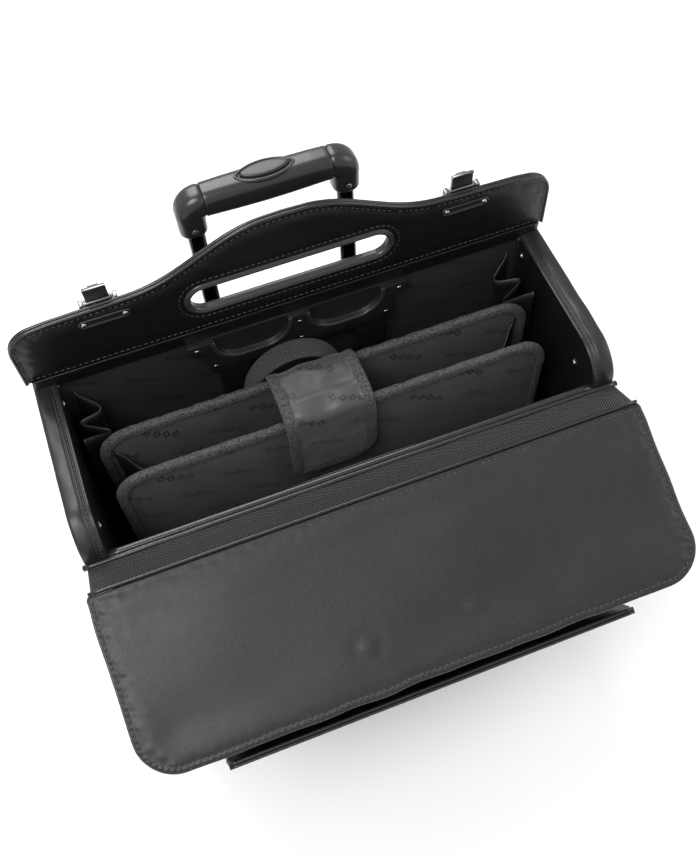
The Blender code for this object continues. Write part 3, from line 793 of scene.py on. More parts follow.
LEATHER = leather("black_leather", (0.0042, 0.0042, 0.0044), 0.35, Specular_IOR_Level=0.30)
LID_LEATHER = leather(
    "lid_lining_leather", (0.0135, 0.0135, 0.0138), 0.42, depth=0.00007, mottle=0.26, Specular_IOR_Level=0.36
)
BAND_LEATHER = leather(
    "band_leather", (0.011, 0.011, 0.0113), 0.36, depth=0.00004, mottle=0.26, Specular_IOR_Level=0.42
)
BEAD_LEATHER = leather("bead_leather", (0.012, 0.012, 0.0123), 0.22, depth=0.00003)
INNER_LEATHER = leather("inner_wall_leather", (0.004, 0.004, 0.0042), 0.42)
LINING = lining("grey_lining", (0.040, 0.040, 0.0415), 0.38, Sheen_Weight=0.10)
BACK_LINING = lining("back_lining", (0.0125, 0.0125, 0.013), 0.38, Sheen_Weight=0.05)
STRAP_LINING = lining("strap_lining", (0.036, 0.036, 0.0375), 0.38, (1, 0, 0), (0, 1, 1), Sheen_Weight=0.15)
PLAIN_LINING = lining("gusset_lining", (0.0075, 0.0075, 0.0078), 0.38, motif=False)
TAPE = knit("binding_tape", (0.015, 0.015, 0.0155), 0.0021)
STRIP_WEAVE = herringbone("herringbone_strip", (0.016, 0.016, 0.0165), (1, 0, 0), STRIP_AXIS, STRIP_MIDDLE)
WEBBING = knit("ribbed_webbing", (0.011, 0.011, 0.0115), 0.0011)
THREAD = thread("thread", (0.050, 0.050, 0.052), 0.42)
PLASTIC = plastic("black_plastic", (0.009, 0.009, 0.0093), 0.34)
GRIP_PLASTIC = plastic("grip_plastic", (0.014, 0.014, 0.0143), 0.27, grain=0.0011, depth=0.00007)
RING_PLASTIC = plastic("slot_plastic", (0.026, 0.026, 0.0265), 0.27, grain=0.0009, depth=0.00002)
GUNMETAL = metal("gunmetal", (0.20, 0.20, 0.205), 0.30)
RIVET = metal("rivet_metal", (0.34, 0.34, 0.35), 0.24)
STEEL = metal("bright_steel", (0.60, 0.60, 0.61), 0.28)
ALUMINIUM = metal("bright_edge", (0.66, 0.66, 0.67), 0.30, (1, 1, 0.05))
TUBE_BLACK = metal("black_anodised", (0.012, 0.012, 0.0125), 0.34, (1, 1, 0.05))
RUBBER = plastic("rubber", (0.011, 0.011, 0.011), 0.68, grain=0.0015, depth=0.00006)


# ---------------------------------------------------------------- shapes used by several parts


def ease(distance):
    """How far a leather face falls away towards its turned and stitched edge."""
    return profile(
        distance,
        (0, 0.0019), (0.0006, 0.0011), (0.0015, 0.0006), (0.003, 0.0004), (0.0045, 0.0010),
        (0.0065, 0.0004), (0.009, 0.0001), (0.0125, -0.0003), (0.020, -0.0001), (0.040, 0.0),
    )


def rise(values, start, end):
    """0 before start, 1 after end, smooth between."""
    share = np.clip((values - start) / (end - start), 0, 1)
    return share * share * (3 - 2 * share)


def grid_faces(rows, columns):
    starts = [r * columns + c for r in range(rows - 1) for c in range(columns - 1)]
    return [(i, i + 1, i + columns + 1, i + columns) for i in starts]


def grid_solid(first, second, top, bottom):
    """A closed body over a grid of (first, second) values, between two heights given as arrays."""
    a, b = np.meshgrid(first, second)
    rows, columns = a.shape
    count = rows * columns
    points = np.vstack([
        np.c_[a.ravel(), b.ravel(), np.broadcast_to(top, a.shape).ravel()],
        np.c_[a.ravel(), b.ravel(), np.broadcast_to(bottom, a.shape).ravel()],
    ])
    upper = grid_faces(rows, columns)
    faces = upper + [tuple(i + count for i in reversed(face)) for face in upper]
    rim = list(range(columns)) + [r * columns + columns - 1 for r in range(1, rows)]
    rim += [(rows - 1) * columns + c for c in range(columns - 2, -1, -1)]
    rim += [r * columns for r in range(rows - 2, 0, -1)]
    faces += [(rim[i - 1], rim[i], rim[i] + count, rim[i - 1] + count) for i in range(len(rim))]
    return points, faces


def cloth_sheet(name, shape_at, rows, columns, material):
    """A sheet of cloth given by a function of two shares from 0 to 1."""
    points = [shape_at(c / columns, r / rows) for r in range(rows + 1) for c in range(columns + 1)]
    shape = np.array(points), grid_faces(rows + 1, columns + 1)
    obj = piece(name, shape, material)
    shell = obj.modifiers.new("cloth thickness", "SOLIDIFY")
    shell.thickness = 0.0011
    shell.offset = 0
    apply_modifiers(obj).shade_smooth()
    return obj


def on_plane(line, lay, height):
    line = np.asarray(line, float)
    return lay(np.c_[line, np.full(len(line), height)])


# ---------------------------------------------------------------- front lid and hinge strip


def make_front_lid():
    low, high = local_box("front_flap_panel", LID)
    half, tip, thick = high[0], high[1], high[2]
    outline = resample(plate(half, low[1], tip, 0.003, 0.033, 12), 0.002, True)
    wave = 0.0006 * ripples(outline, 0.045, 2) * rise(outline[:, 1], 0.004, 0.02)
    outline = outline - wave[:, None] * left_of(outline, True)
    rings = (0.0006, 0.0015, 0.0028, 0.0042, 0.0056, 0.0072, 0.009, 0.0125)
    panel = Panel(outline, rings=rings, spacing=0.0013)
    x, y = panel.uv.T
    edge = panel.edge
    gather = np.cos(math.tau * edge_run(panel.uv, outline) / STITCH_PITCH) * bell(edge, 0.0034, 0.0030)
    gather *= rise(y, 0.004, 0.012) * (0.45 + 0.55 * rise(np.abs(x), 0.19, 0.225))
    pucker = ripples(panel.uv, 0.009, 3) * bell(edge, 0.0070, 0.0045)
    pucker *= 0.5 + 0.5 * rise(np.abs(x), 0.19, 0.23)
    slack = ripples(panel.uv, 0.12, 5) * rise(edge, 0.010, 0.035)
    crease = bell(y - 0.030 - 0.16 * (x + 0.12), 0, 0.0075) * bell(x, -0.135, 0.075)
    crease += 0.8 * bell(y - 0.040 + 0.07 * (x - 0.10), 0, 0.009) * bell(x, 0.10, 0.08)
    board = 0.0005 * rise(half - 0.021 - np.abs(x), -0.0006, 0.0006) * rise(0.075 - y, 0, 0.04)
    inner = ease(edge) + 0.00042 * gather + 0.00038 * pucker + 0.0009 * slack - 0.0007 * crease - board
    post_x, post_y = 0.046, 0.1115
    for sign in (-1, 1):
        away = np.hypot(x - sign * post_x, (y - post_y) * 1.1)
        inner = inner - 0.0009 * bell(away, 0, 0.0062) + 0.0006 * bell(away, 0.0105, 0.0042)
    outer = thick - ease(edge) * 0.8 - 0.00015 * ripples(panel.uv, 0.08, 8)
    shape = panel.solid(outer, inner)
    piece(
        "front_flap", shape, [LEATHER, LID_LEATHER, BEAD_LEATHER], ["front_flap_panel"],
        body="front_flap", where=LID, index=panel.kinds,
    )
    piece(
        "front_flap_edge", edge_sweep(outline, bead(0.0014, (-0.0006, 0)), height=thick * 0.48),
        BEAD_LEATHER, body="front_flap", where=LID,
    )
    seam = inset(outline, 0.0044)
    below = stitches(on_plane(seam, across_z, 0.00075), (0, 0, -1), closed=True, radius=0.0005)
    above = stitches(on_plane(seam, across_z, thick - 0.00065), (0, 0, 1), closed=True)
    piece("front_flap_stitching", merged(below, above), THREAD, body="front_flap", where=LID)

    low, high = local_box("front_hinge_strip", STRIP)
    strip = Panel(rectangle((low[0], high[0]), (low[1], high[1]), 0.001, 2), step=0.005)
    ends = ease(strip.edge) * 0.5
    wobble = 0.0003 * ripples(strip.uv, 0.06, 11)
    shape = strip.solid(high[2] - ends, ends + wobble)
    piece(
        "hinge_strip_weave", shape, STRIP_WEAVE, ["front_hinge_strip"], body="hinge_strip",
        where=STRIP,
    )
    fold = (FOLD_B - FOLD_A).length
    cord_x = high[0] + 0.002
    line = resample([(-cord_x, fold, 0.0), (cord_x, fold, 0.0)], 0.01)
    piece("hinge_fold_cord", tube(line, 0.0015), BEAD_LEATHER, body="hinge_strip", where=STRIP)
    gap_line = resample([(-high[0], fold - 0.0022, 0.0006), (high[0], fold - 0.0022, 0.0006)], 0.01)
    piece("hinge_fold_seam", tube(gap_line, 0.0008, 8), LEATHER, body="hinge_strip", where=STRIP)


def make_front_rail():
    """The rolled leather edge along the front of the mouth, round the strip's fold line."""
    low, high = local_box("front_rim_trim")
    fold = RIM.inverted() @ FOLD_A
    outer_x = local_box("right_rim_band")[1][0]
    roll_x = outer_x + 0.0020
    roll = resample([(-roll_x, fold.y, fold.z), (roll_x, fold.y, fold.z)], 0.008)
    roll[:, 2] += 0.0002 * ripples(roll[:, :1], 0.05, 4)
    ends = [dome(0.0026, 0.0012, (sign * roll_x, fold.y, fold.z), (sign, 0, 0), 12) for _, sign in SIDES]
    ridge = rectangle((low[1], high[1] + 0.0006), (high[2] - 0.009, high[2] + 0.0004), 0.0028, 5)
    line = [(low[0], 0, 0), (high[0], 0, 0)]
    bar = sweep(resample(line, 0.01), (0, 1, 0), (0, 0, 1), ridge)
    shape = merged(tube(roll, 0.0026, 14), bar, *ends)
    piece("front_rail", shape, BEAD_LEATHER, ["front_rim_trim"])


def make_carry_handle():
    low, high = local_box("carry_handle", HANDLE)
    middle_x = 0.0685
    reach = low[1] + 0.007
    root = high[1] - 0.001
    line = [(-middle_x, root, 0), (-middle_x, reach, 0), (middle_x, reach, 0), (middle_x, root, 0)]
    line = smooth_line(line, 0.002, 4)
    along = tangents(line)
    outward = np.stack([along[:, 1], -along[:, 0], along[:, 2] * 0], 1)
    grip = rise(-line[:, 1], 0.010, 0.030)
    section = np.array(rectangle((-1, 1), (-1, 1), 0.75, 5))
    thick = np.c_[0.0058 + 0.0009 * grip, 0.0052 + 0.0006 * grip]
    parts = []
    for start, size, lean in zip(line, thick, outward):
        out, up = section[:, :1] * size[0], section[:, 1:] * size[1]
        parts.append(start + out * lean + up * np.array((0, 0, 1)))
    shape = np.vstack(parts), skin(len(line), len(section))
    handle = piece(
        "padded_handle", shape, LEATHER, ["carry_handle"], body="carry_handle", where=HANDLE
    )
    seams = []
    for side in (-1, 1):
        for face in (-1, 1):
            seam = (line + outward * side * 0.0036)[6:-6] + (0, 0, face * 0.0052)
            seams.append(stitches(seam, (0, 0, face), radius=0.0004))
    piece("handle_stitching", merged(*seams), THREAD, body="carry_handle", where=HANDLE)
    pins = []
    for _, sign in SIDES:
        pin = [(sign * 0.0505, 0, 0), (sign * 0.0760, 0, 0)]
        pins.append(tube(np.array(pin), 0.0023, 16))
        cap = rectangle((sign * 0.0605, sign * 0.0765), (-0.0042, 0.0078), 0.003, 5)
        plate = Panel(cap, step=0.003, rings=(0.0006,))
        for side in (-1, 1):
            pins.append(plate.solid(side * 0.0062 + 0.0005, side * 0.0062 - 0.0005))
    piece("handle_ends", merged(*pins), GUNMETAL, body="carry_handle", where=HANDLE, sharp=35)


# ---------------------------------------------------------------- rear lid


def rear_lid_outline(half, foot):
    """Shoulders at each side, rising through an S-curve to a hump over the slot."""
    hump, shoulder_z, corner = 0.110, 0.066, 0.024
    top = []
    count = 60
    for k in range(count + 1):
        x = 0.205 - 0.410 * k / count
        blend = min(max((0.138 - abs(x)) / 0.120, 0), 1)
        blend = blend * blend * (3 - 2 * blend)
        crown = (hump - shoulder_z - 0.008) * blend * (1 - 0.10 * (x / 0.06) ** 2 * (1 - blend))
        top.append((x, shoulder_z + 0.008 * (1 - abs(x) / 0.205) + crown, 0))
    ends = [(-half, foot, 0), (half, foot, 0), (half, shoulder_z - 0.004, corner)]
    return rounded(ends + top + [(-half, shoulder_z - 0.004, corner)], 10)


def make_rear_lid():
    low, high = local_box("rear_flap_panel", REAR)
    inner, outer, half = low[1], high[1], high[0]
    ring_low, ring_high = local_box("slot_trim", REAR)
    slot_z = (ring_low[2] + ring_high[2]) / 2
    ring = 0.0058
    length, height = ring_high[0] - ring, (ring_high[2] - ring_low[2]) / 2 - ring
    outline = rear_lid_outline(half, low[2])
    hole = obround(length + 0.004, height + 0.004, (0, slot_z), 20)
    panel = Panel(outline, [hole])
    x, z = panel.uv.T
    edge = panel.edge
    corner = bell(np.abs(x), 0.228, 0.024) * bell(z, 0.045, 0.036)
    radial = np.arctan2(z - 0.036, np.abs(x) - 0.212)
    pucker = np.sin(radial * 34 + 2.2 * np.sin(radial * 9)) * corner * bell(edge, 0.009, 0.0055)
    slack = ripples(panel.uv, 0.10, 21) * rise(edge, 0.012, 0.04)
    fall = ease(edge) * rise(np.minimum(edge, edge_distance(panel.uv, panel.loops[1:])), -1, -0.5)
    front = inner + fall + 0.0005 * pucker + 0.0004 * slack + 0.00012 * ripples(panel.uv, 0.012, 22)
    back = outer - 0.8 * ease(edge) + 0.0003 * ripples(panel.uv, 0.09, 23)
    shape = panel.solid(back, front, across_y)
    piece("rear_flap", shape, LEATHER, ["rear_flap_panel"], body="rear_flap", where=REAR)

    free_edge = outline[1:] + outline[:1]
    beads = [
        edge_sweep(free_edge, bead(0.0016, (-0.0003, 0)), across_y, closed=False, height=at)
        for at in (inner + 0.0014, outer - 0.0014)
    ]
    piece("rear_flap_piping", merged(*beads), BEAD_LEATHER, body="rear_flap", where=REAR)

    seam = inset(outline, 0.0046)
    around = inset(obround(length + 0.0105, height + 0.0105, (0, slot_z), 20), 0.0001)
    rows = [
        stitches(on_plane(seam, across_y, inner + 0.0009), (0, -1, 0), closed=True, radius=0.0004),
        stitches(on_plane(seam, across_y, outer - 0.0006), (0, 1, 0), closed=True),
        stitches(on_plane(around, across_y, inner + 0.0002), (0, -1, 0), closed=True, radius=0.00035),
        stitches(on_plane(around, across_y, outer - 0.0001), (0, 1, 0), closed=True, radius=0.0004),
    ]
    piece("rear_flap_stitching", merged(*rows), THREAD, body="rear_flap", where=REAR)

    front_ridges = (
        (0.0, 1.6), (0.5, 0.2), (1.2, -1.0), (1.8, -1.2), (2.3, -0.6), (2.8, -1.2),
        (3.4, -1.7), (4.0, -1.3), (4.5, -0.6), (5.1, -1.0), (5.6, -0.8), (6.0, 0.4),
    )
    back_ridges = (6.0, -0.4), (5.0, 0.9), (3.4, 1.3), (1.4, 1.0), (0.3, 0.1), (0.0, -1.4)
    ridges = [(out * MM, inner + up * MM) for out, up in front_ridges]
    ridges += [(out * MM, outer + up * MM) for out, up in back_ridges]
    slot = obround(length, height, (0, slot_z), 24)
    shape = edge_sweep(slot, ridges, across_y, spacing=0.0022)
    piece("slot_ring", shape, RING_PLASTIC, ["slot_trim"], body="rear_flap", where=REAR)

    plate_low, plate_high = local_box("right_backing_plate", REAR)
    plate_half = (plate_high[0] - plate_low[0]) / 2
    plate_x, plate_z = (plate_low[0] + plate_high[0]) / 2, (plate_low[2] + plate_high[2]) / 2
    for side, sign in SIDES:
        bar = Panel(
            obround(plate_half, (plate_high[2] - plate_low[2]) / 2, (sign * plate_x, plate_z)),
            step=0.002, rings=(0.0004, 0.0009, 0.0014, 0.0018),
        )
        raised = profile(
            bar.edge, (0, 0.0007), (0.0004, 0.0002), (0.0009, 0.0), (0.0014, 0.0001), (0.0018, 0.0006)
        )
        shape = bar.solid(inner + 0.0002, inner - 0.0017 + raised, across_y)
        piece(
            side + "_latch_back_plate", shape, PLASTIC, [side + "_backing_plate"],
            body="rear_flap", where=REAR,
        )
        heads = [
            dome(0.0025, 0.0014, (sign * plate_x + shift, inner - 0.0011, plate_z), (0, -1, 0))
            for shift in (-0.0172, 0.0172)
        ]
        base_z = local_box(side + "_latch_base", REAR)[0][2]
        face = outer + 0.0003 + 0.0024
        heads += [
            dome(0.0021, 0.0010, (sign * plate_x + shift, face, base_z + 0.006), (0, 1, 0))
            for shift in (-0.0115, 0.0115)
        ]
        piece(side + "_latch_rivets", merged(*heads), RIVET, body="rear_flap", where=REAR, sharp=60)
        soften(side + "_latch_base", 0.0006, GUNMETAL)
        soften(side + "_latch_hasp", 0.0004, GUNMETAL, angle=50)
        soften(side + "_latch_catch", 0.0004, GUNMETAL)
        soften(side + "_handle_post", 0.0006, GUNMETAL)


# ---------------------------------------------------------------- case body


def side_outline(gap):
    """Side view of a side wall this far inside its rim band: its top front corner is round."""
    low, _ = local_box("right_side_wall")
    depth = local_box("back_wall")[1][1]
    radius = 0.036 - gap
    floor = [(gap, low[2], 0.006), (depth, low[2], 0.006)]
    return rounded(floor + [(depth, -gap, 0.001), (gap, -gap, radius)], 12)


def make_rear_hinge():
    """The leather that joins the rear lid to the back wall."""
    foot_y = local_box("rear_flap_panel")[0][1]
    wall_y = local_box("back_wall")[0][1]
    half = local_box("right_rim_band")[0][0] + 0.0165
    lid_y = foot_y - 0.0012
    path = smooth_line([
        (wall_y - 0.0004, -0.0038), (wall_y - 0.0007, 0.0005), (lid_y + 0.0004, 0.0035), (lid_y, 0.0065),
        (lid_y, 0.0105),
    ], 0.001, 3)
    run = run_of(path)[-1]
    wide = np.linspace(-half, half, 150)
    long = np.linspace(0, run, 22)
    a, b = np.meshgrid(wide, long)
    spots = np.c_[a.ravel(), b.ravel()]
    top = 0.0009 + 0.00035 * ripples(spots, 0.035, 26).reshape(a.shape) * np.sin(math.pi * b / run)
    points, faces = grid_solid(wide, long, top, -0.0008)
    leather_fold = piece("rear_hinge_leather", (bent(points, path), faces), LEATHER, body=None)
    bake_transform(leather_fold)


def make_sides():
    low, high = local_box("right_side_wall")
    inner_x, outer_x = low[0], high[0]
    depth = local_box("back_wall")[1][1]
    gap, radius = 0.0023, 0.036
    for side, sign in SIDES:
        outline = side_outline(gap)
        panel = Panel(outline, step=0.007)
        outer = outer_x - ease(panel.edge) + 0.0008 * rise(panel.edge, 0.008, 0.05)
        outer = outer + 0.0003 * ripples(panel.uv, 0.09, 31 + sign)
        inner = inner_x + 0.0005 - 0.0005 * rise(panel.edge, 0, 0.004)
        shape = mirrored(panel.solid(outer, inner, across_x), sign)
        piece(
            side + "_side_panel", shape, [LEATHER, INNER_LEATHER, LEATHER], [side + "_side_wall"],
            index=panel.kinds,
        )
        border = edge_sweep(outline, bead(0.0015, (-0.0007, 0)), across_x, height=outer_x - 0.0010)
        border = mirrored(border, sign)
        piece(side + "_side_piping", border, BEAD_LEATHER)
        seam = on_plane(inset(outline, 0.0046), across_x, outer_x - 0.0006) * (sign, 1, 1)
        rivets, washers = [], []
        for y, z in ((depth - 0.014, -0.022), (0.036, -0.042)):
            rivets.append(dome(0.0036, 0.0019, (sign * (inner_x + 0.0001), y, z), (-sign, 0, 0), 20))
            ends = [(sign * (inner_x + out), y, z) for out in (0.001, -0.0004)]
            washers.append(tube(ends, 0.0050, 20))
        piece(side + "_side_stitching", stitches(seam, (sign, 0, 0), closed=True), THREAD)
        piece(side + "_wall_rivets", merged(*rivets, *washers), RIVET, sharp=50)
        make_rim_band(side, sign, inner_x, outer_x, depth, gap, radius)


def make_corner_welts():
    """Piping down the four inside corners of the box."""
    low = local_box("right_side_wall")[0]
    front, back = local_box("front_wall")[1][1] + 0.0008, local_box("back_wall")[0][1] - 0.0002
    lines = []
    for _, sign in SIDES:
        for y, top in ((front, -0.050), (back, -0.0035)):
            x = sign * (low[0] - 0.0004)
            path = np.linspace((x, y, low[2] + 0.012), (x, y, top), 60)
            path[:, 0] += sign * 0.0003 * ripples(path, 0.04, 29)
            lines.append(tube(path, 0.0021, 10, (0, 1, 0)))
    piece("corner_welts", merged(*lines), BEAD_LEATHER)


def make_rim_band(side, sign, inner_x, outer_x, depth, gap, radius):
    """The smooth strip over a side wall's top and round its front corner, bound along its inner edge."""
    turn = radius - gap
    quarter = np.linspace(0, math.pi / 2, 24)
    arc = [(radius - turn * math.cos(t), -radius + turn * math.sin(t)) for t in quarter]
    path = [(gap, -0.070)] + arc + [(depth, -gap)]
    run = run_of(path)[-1]
    ridge = inner_x + 0.0070
    fine, coarse = np.linspace(inner_x - 0.0006, ridge, 20), np.linspace(ridge, outer_x + 0.0005, 16)
    wide = np.unique(np.concatenate([fine, coarse]))
    long = np.arange(0, run + 0.002, 0.003)
    long = long * run / long[-1]
    a, b = np.meshgrid(wide, long)
    spots = np.c_[a.ravel(), b.ravel()]
    from_inner, from_outer = a - wide[0], wide[-1] - a
    edge = np.minimum(from_inner, from_outer)
    top = 0.0019 - profile(edge, (0, 0.0013), (0.0005, 0.0007), (0.0012, 0.0002), (0.0025, 0.0))
    top = top + 0.0006 * np.clip(np.sin(math.pi * np.clip((from_inner - 0.0060) / 0.0125, 0, 1)), 0, 1)
    top = top - 0.0010 * bell(from_inner, 0.0034, 0.0009) - 0.0006 * bell(from_inner, 0.0064, 0.0006)
    waves = ripples(spots, 0.030, 41 + sign).reshape(a.shape)
    top = top + 0.00035 * waves * rise(from_inner, 0.006, 0.010)
    points, faces = grid_solid(wide, long, top, 0.0002)
    points = bent(points, path) * (sign, 1, 1)
    piece(side + "_rim_leather", (points, faces), BAND_LEATHER, [side + "_rim_band"])
    line = np.c_[np.full(400, inner_x + 0.0028), np.linspace(0.002, run - 0.001, 400), np.full(400, 0.0011)]
    above = line + (0, 0, 0.01)
    ends = bent(line, path) * (sign, 1, 1), bent(above, path) * (sign, 1, 1)
    row = stitches(ends[0], ends[1] - ends[0], pitch=0.0042, length=0.0030, radius=0.0005)
    piece(side + "_rim_stitching", row, THREAD)
    roll = np.c_[np.full(160, inner_x - 0.0002), np.linspace(0, run, 160), np.full(160, 0.0008)]
    roll = bent(roll, path) * (sign, 1, 1)
    piece(side + "_rim_binding", tube(roll, 0.0013, 10, (1, 0, 0)), BEAD_LEATHER)


def make_walls():
    low, high = local_box("back_wall")
    outline = rectangle((low[0], high[0]), (low[2], high[2]), 0.002, 3)
    panel = Panel(outline, step=0.008)
    swell = 0.0010 * rise(panel.edge, 0.004, 0.03) * ripples(panel.uv, 0.045, 51)
    inner = low[1] + 0.0004 + 0.5 * ease(panel.edge) + swell * 0.6
    outer = high[1] - 0.6 * ease(panel.edge) + 0.0003 * ripples(panel.uv, 0.09, 52)
    shape = panel.solid(outer, inner, across_y)
    piece(
        "back_panel", shape, [LEATHER, BACK_LINING, LEATHER], ["back_wall"], index=panel.kinds
    )
    seam = on_plane(inset(outline, 0.006), across_y, high[1] - 0.0003)
    piece("back_panel_stitching", stitches(seam, (0, 1, 0), closed=True), THREAD)

    low, high = local_box("front_wall")
    outline = rectangle((low[0], high[0]), (low[2], high[2]), 0.002, 3)
    panel = Panel(outline, step=0.009)
    outer = low[1] + 0.5 * ease(panel.edge) + 0.0003 * ripples(panel.uv, 0.08, 53)
    shape = panel.solid(high[1] - 0.0002, outer, across_y)
    piece(
        "front_panel", shape, [INNER_LEATHER, LEATHER, LEATHER], ["front_wall"],
        index=panel.kinds,
    )

    low, high = local_box("front_slip_pocket")
    outline = rectangle((low[0], high[0]), (low[2], high[2]), 0.004)
    panel = Panel(outline, step=0.007)
    x, z = panel.uv.T
    gape = 0.0030 * np.cos(x / high[0] * math.pi / 2) * rise(z, low[2] + 0.03, high[2])
    gape = gape + 0.0004 * ripples(panel.uv, 0.05, 54)
    shape = panel.solid(low[1] + 0.0022 + gape - 0.4 * ease(panel.edge), low[1] + 0.0004 + gape, across_y)
    piece("slip_pocket", shape, LEATHER, ["front_slip_pocket"])
    lip_x = np.linspace(low[0] + 0.003, high[0] - 0.003, 60)
    lip_y = low[1] + 0.0016 + 0.0030 * np.cos(lip_x / high[0] * math.pi / 2)
    lip = tube(np.c_[lip_x, lip_y, np.full(60, high[2])], 0.0016)
    piece("slip_pocket_lip", lip, BEAD_LEATHER)

    soften("bottom_panel", 0.0015, LEATHER)
    soften("front_pocket_base", 0.0012, LEATHER)
    for side, _ in SIDES:
        soften(side + "_front_foot", 0.0, RUBBER)


# ---------------------------------------------------------------- laptop sleeve


def pad_outline(half, floor, top):
    radius = 0.030
    return rounded([(half, floor, 0), (half, top, radius), (-half, top, radius), (-half, floor, 0)], 12)


def make_pad(name, node, seed):
    """A thin padded panel swollen by simulation, wrinkled where its edge is bound with tape."""
    low, high = local_box(node)
    half, floor, top = high[0], low[2], high[2]
    middle = (low[1] + high[1]) / 2
    margin, thin = 0.0022, 0.0030
    outline = pad_outline(half - margin, floor + margin, top - margin)
    panel = Panel(outline, step=0.012, rings=(0.004,))
    shape = panel.solid(middle + thin, middle - thin, across_y)
    pad = piece(name, shape, LINING, [node], body=None)
    rim = np.array(RIM)[:3, 3]
    loops = [counter_clockwise(resample(outline, 0.004, True))]

    def hold(place):
        return rise(edge_distance((place - rim)[:, [0, 2]], loops), 0.004, 0.022)

    inflate(pad, hold)
    mesh = pad.data
    place = coordinates(mesh)
    flat = (place - rim)[:, [0, 2]]
    away = edge_distance(flat, loops)
    wrinkle = 0.0011 * ripples(flat, 0.013, seed) * bell(away, 0.013, 0.010)
    wrinkle += 0.0013 * ripples(flat * (1, 0.45), 0.040, seed + 1) * rise(away, 0.010, 0.03)
    side = np.sign((place - rim)[:, 1] - middle)
    place[:, 1] += side * wrinkle
    mesh.vertices.foreach_set("co", place.astype(np.float32).ravel())
    apply_modifiers(pad).shade_smooth()
    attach(pad, "case")

    thick, wide, wall = 0.0041, 0.0064, 0.0009
    outer = [(-wide, thick - 0.0004), (-0.004, thick), (-0.001, thick - 0.0004)]
    outer += [(0.0012, thick * 0.62), (0.0018, 0)]
    section = outer + [(a, -b) for a, b in reversed(outer[:-1])]
    shell = [(a - wall * 1.2, b * (1 - wall / thick)) for a, b in outer]
    section += [(a, -b) for a, b in shell] + [(a, b) for a, b in reversed(shell[:-1])]
    run = pad_outline(half - 0.0012, floor + 0.004, top - 0.0012)
    points, faces = edge_sweep(run, section, across_y, closed=False, height=middle)
    points[:, 1] += 0.00035 * ripples(points, 0.012, seed + 2)
    piece(name + "_binding", (points, faces), TAPE)


def make_strap():
    """The closing strap: satin cloth bound with tape, over both pads and down the front one."""
    low, high = local_box("sleeve_strap")
    strap_low, strap_high = low[0], high[0]
    path = [
        (high[1], -0.0180), (high[1] - 0.006, -0.0118), (0.082, -0.0080), (0.061, -0.0085), (0.0515, -0.0122),
        (0.0480, -0.0225), (0.0474, -0.040), (0.0472, low[2] - 0.001),
    ]
    path = smooth_line(path, 0.001, 4)
    run = run_of(path)[-1]
    crease = 0.0425
    outline, longer = [
        rounded([(strap_low, s, 0.001), (strap_high, s, 0.001), (strap_high, run, 0.027), (strap_low, run, 0.012)], 10)
        for s in (0, -0.1)
    ]
    panel = Panel(outline, step=0.003, rings=(0.0006, 0.0015, 0.003, 0.006, 0.0088, 0.0096, 0.0104, 0.0125))
    edge = edge_distance(panel.uv, [counter_clockwise(resample(longer, 0.002, True))])
    s = panel.uv[:, 1]
    top = profile(
        edge, (0, 0.0002), (0.0006, 0.0012), (0.0015, 0.0017), (0.005, 0.0019), (0.0088, 0.0018),
        (0.0096, 0.0013), (0.0104, 0.0011), (0.014, 0.0017), (0.025, 0.0021),
    )
    inner = rise(edge, 0.0096, 0.013)
    fold = 0.0017 * bell(s, crease, 0.0014) - 0.0008 * bell(s, crease - 0.008, 0.006)
    top = top + fold * rise(edge, 0.009, 0.012)
    top = top + 0.0008 * ripples(panel.uv, 0.030, 61) * inner
    top = top + 0.00025 * ripples(panel.uv, 0.007, 62) * (1 - inner)
    points, faces = panel.solid(top, -0.0011 + 0.0006 * rise(0.002 - edge, 0, 0.002))
    middles = np.array([edge[np.array(face[:3]) % len(edge)].mean() for face in faces])
    taped = (middles < 0.0096) | (panel.kinds == 2)
    strap = piece(
        "closing_strap", (bent(points, path, outward=-1), faces), [STRAP_LINING, TAPE], ["sleeve_strap"],
        body="sleeve_strap", index=taped.astype(int),
    )


def make_gussets():
    """Folded cloth between the two pads, and between the rear pad and the back wall."""
    front_low, front_high = local_box("sleeve_front_pad")
    near, far = front_high[1] - 0.002, local_box("sleeve_rear_pad")[0][1] + 0.002
    floor = front_low[2] + 0.001
    top = local_box("sleeve_right_gusset")[1][2] + 0.014
    for side, sign in SIDES:
        def between_pads(u, v, sign=sign):
            tuck = 1 - abs(2 * u - 1) ** 1.3
            x = 0.190 - 0.022 * tuck - 0.003 * math.sin(9 * u + 5 * v) * tuck
            z = floor + (top - 0.016 * tuck - floor) * v
            return sign * x, near + (far - near) * u, z

        sheet = cloth_sheet(f"sleeve_{side}_end", between_pads, 30, 14, PLAIN_LINING)
        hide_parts(f"sleeve_{side}_gusset")

        low, high = local_box(f"file_{side}_gusset")
        start, end = low[1] - 0.002, high[1] + 0.0012

        def accordion(u, v, sign=sign, low=low, high=high, start=start, end=end):
            fold = 0.5 - 0.5 * math.cos(u * 4 * math.pi)
            droop = 0.012 * math.sin(math.pi * u) + 0.010 * fold
            x = 0.2085 - 0.020 * fold * (0.75 + 0.25 * v) - 0.002 * math.sin(6 * v + 8 * u)
            z = low[2] + (high[2] + 0.010 - droop - low[2]) * v
            return sign * x, start + (end - start) * u, z

        sheet = cloth_sheet(f"file_{side}_end", accordion, 26, 28, PLAIN_LINING)
        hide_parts(f"file_{side}_gusset")


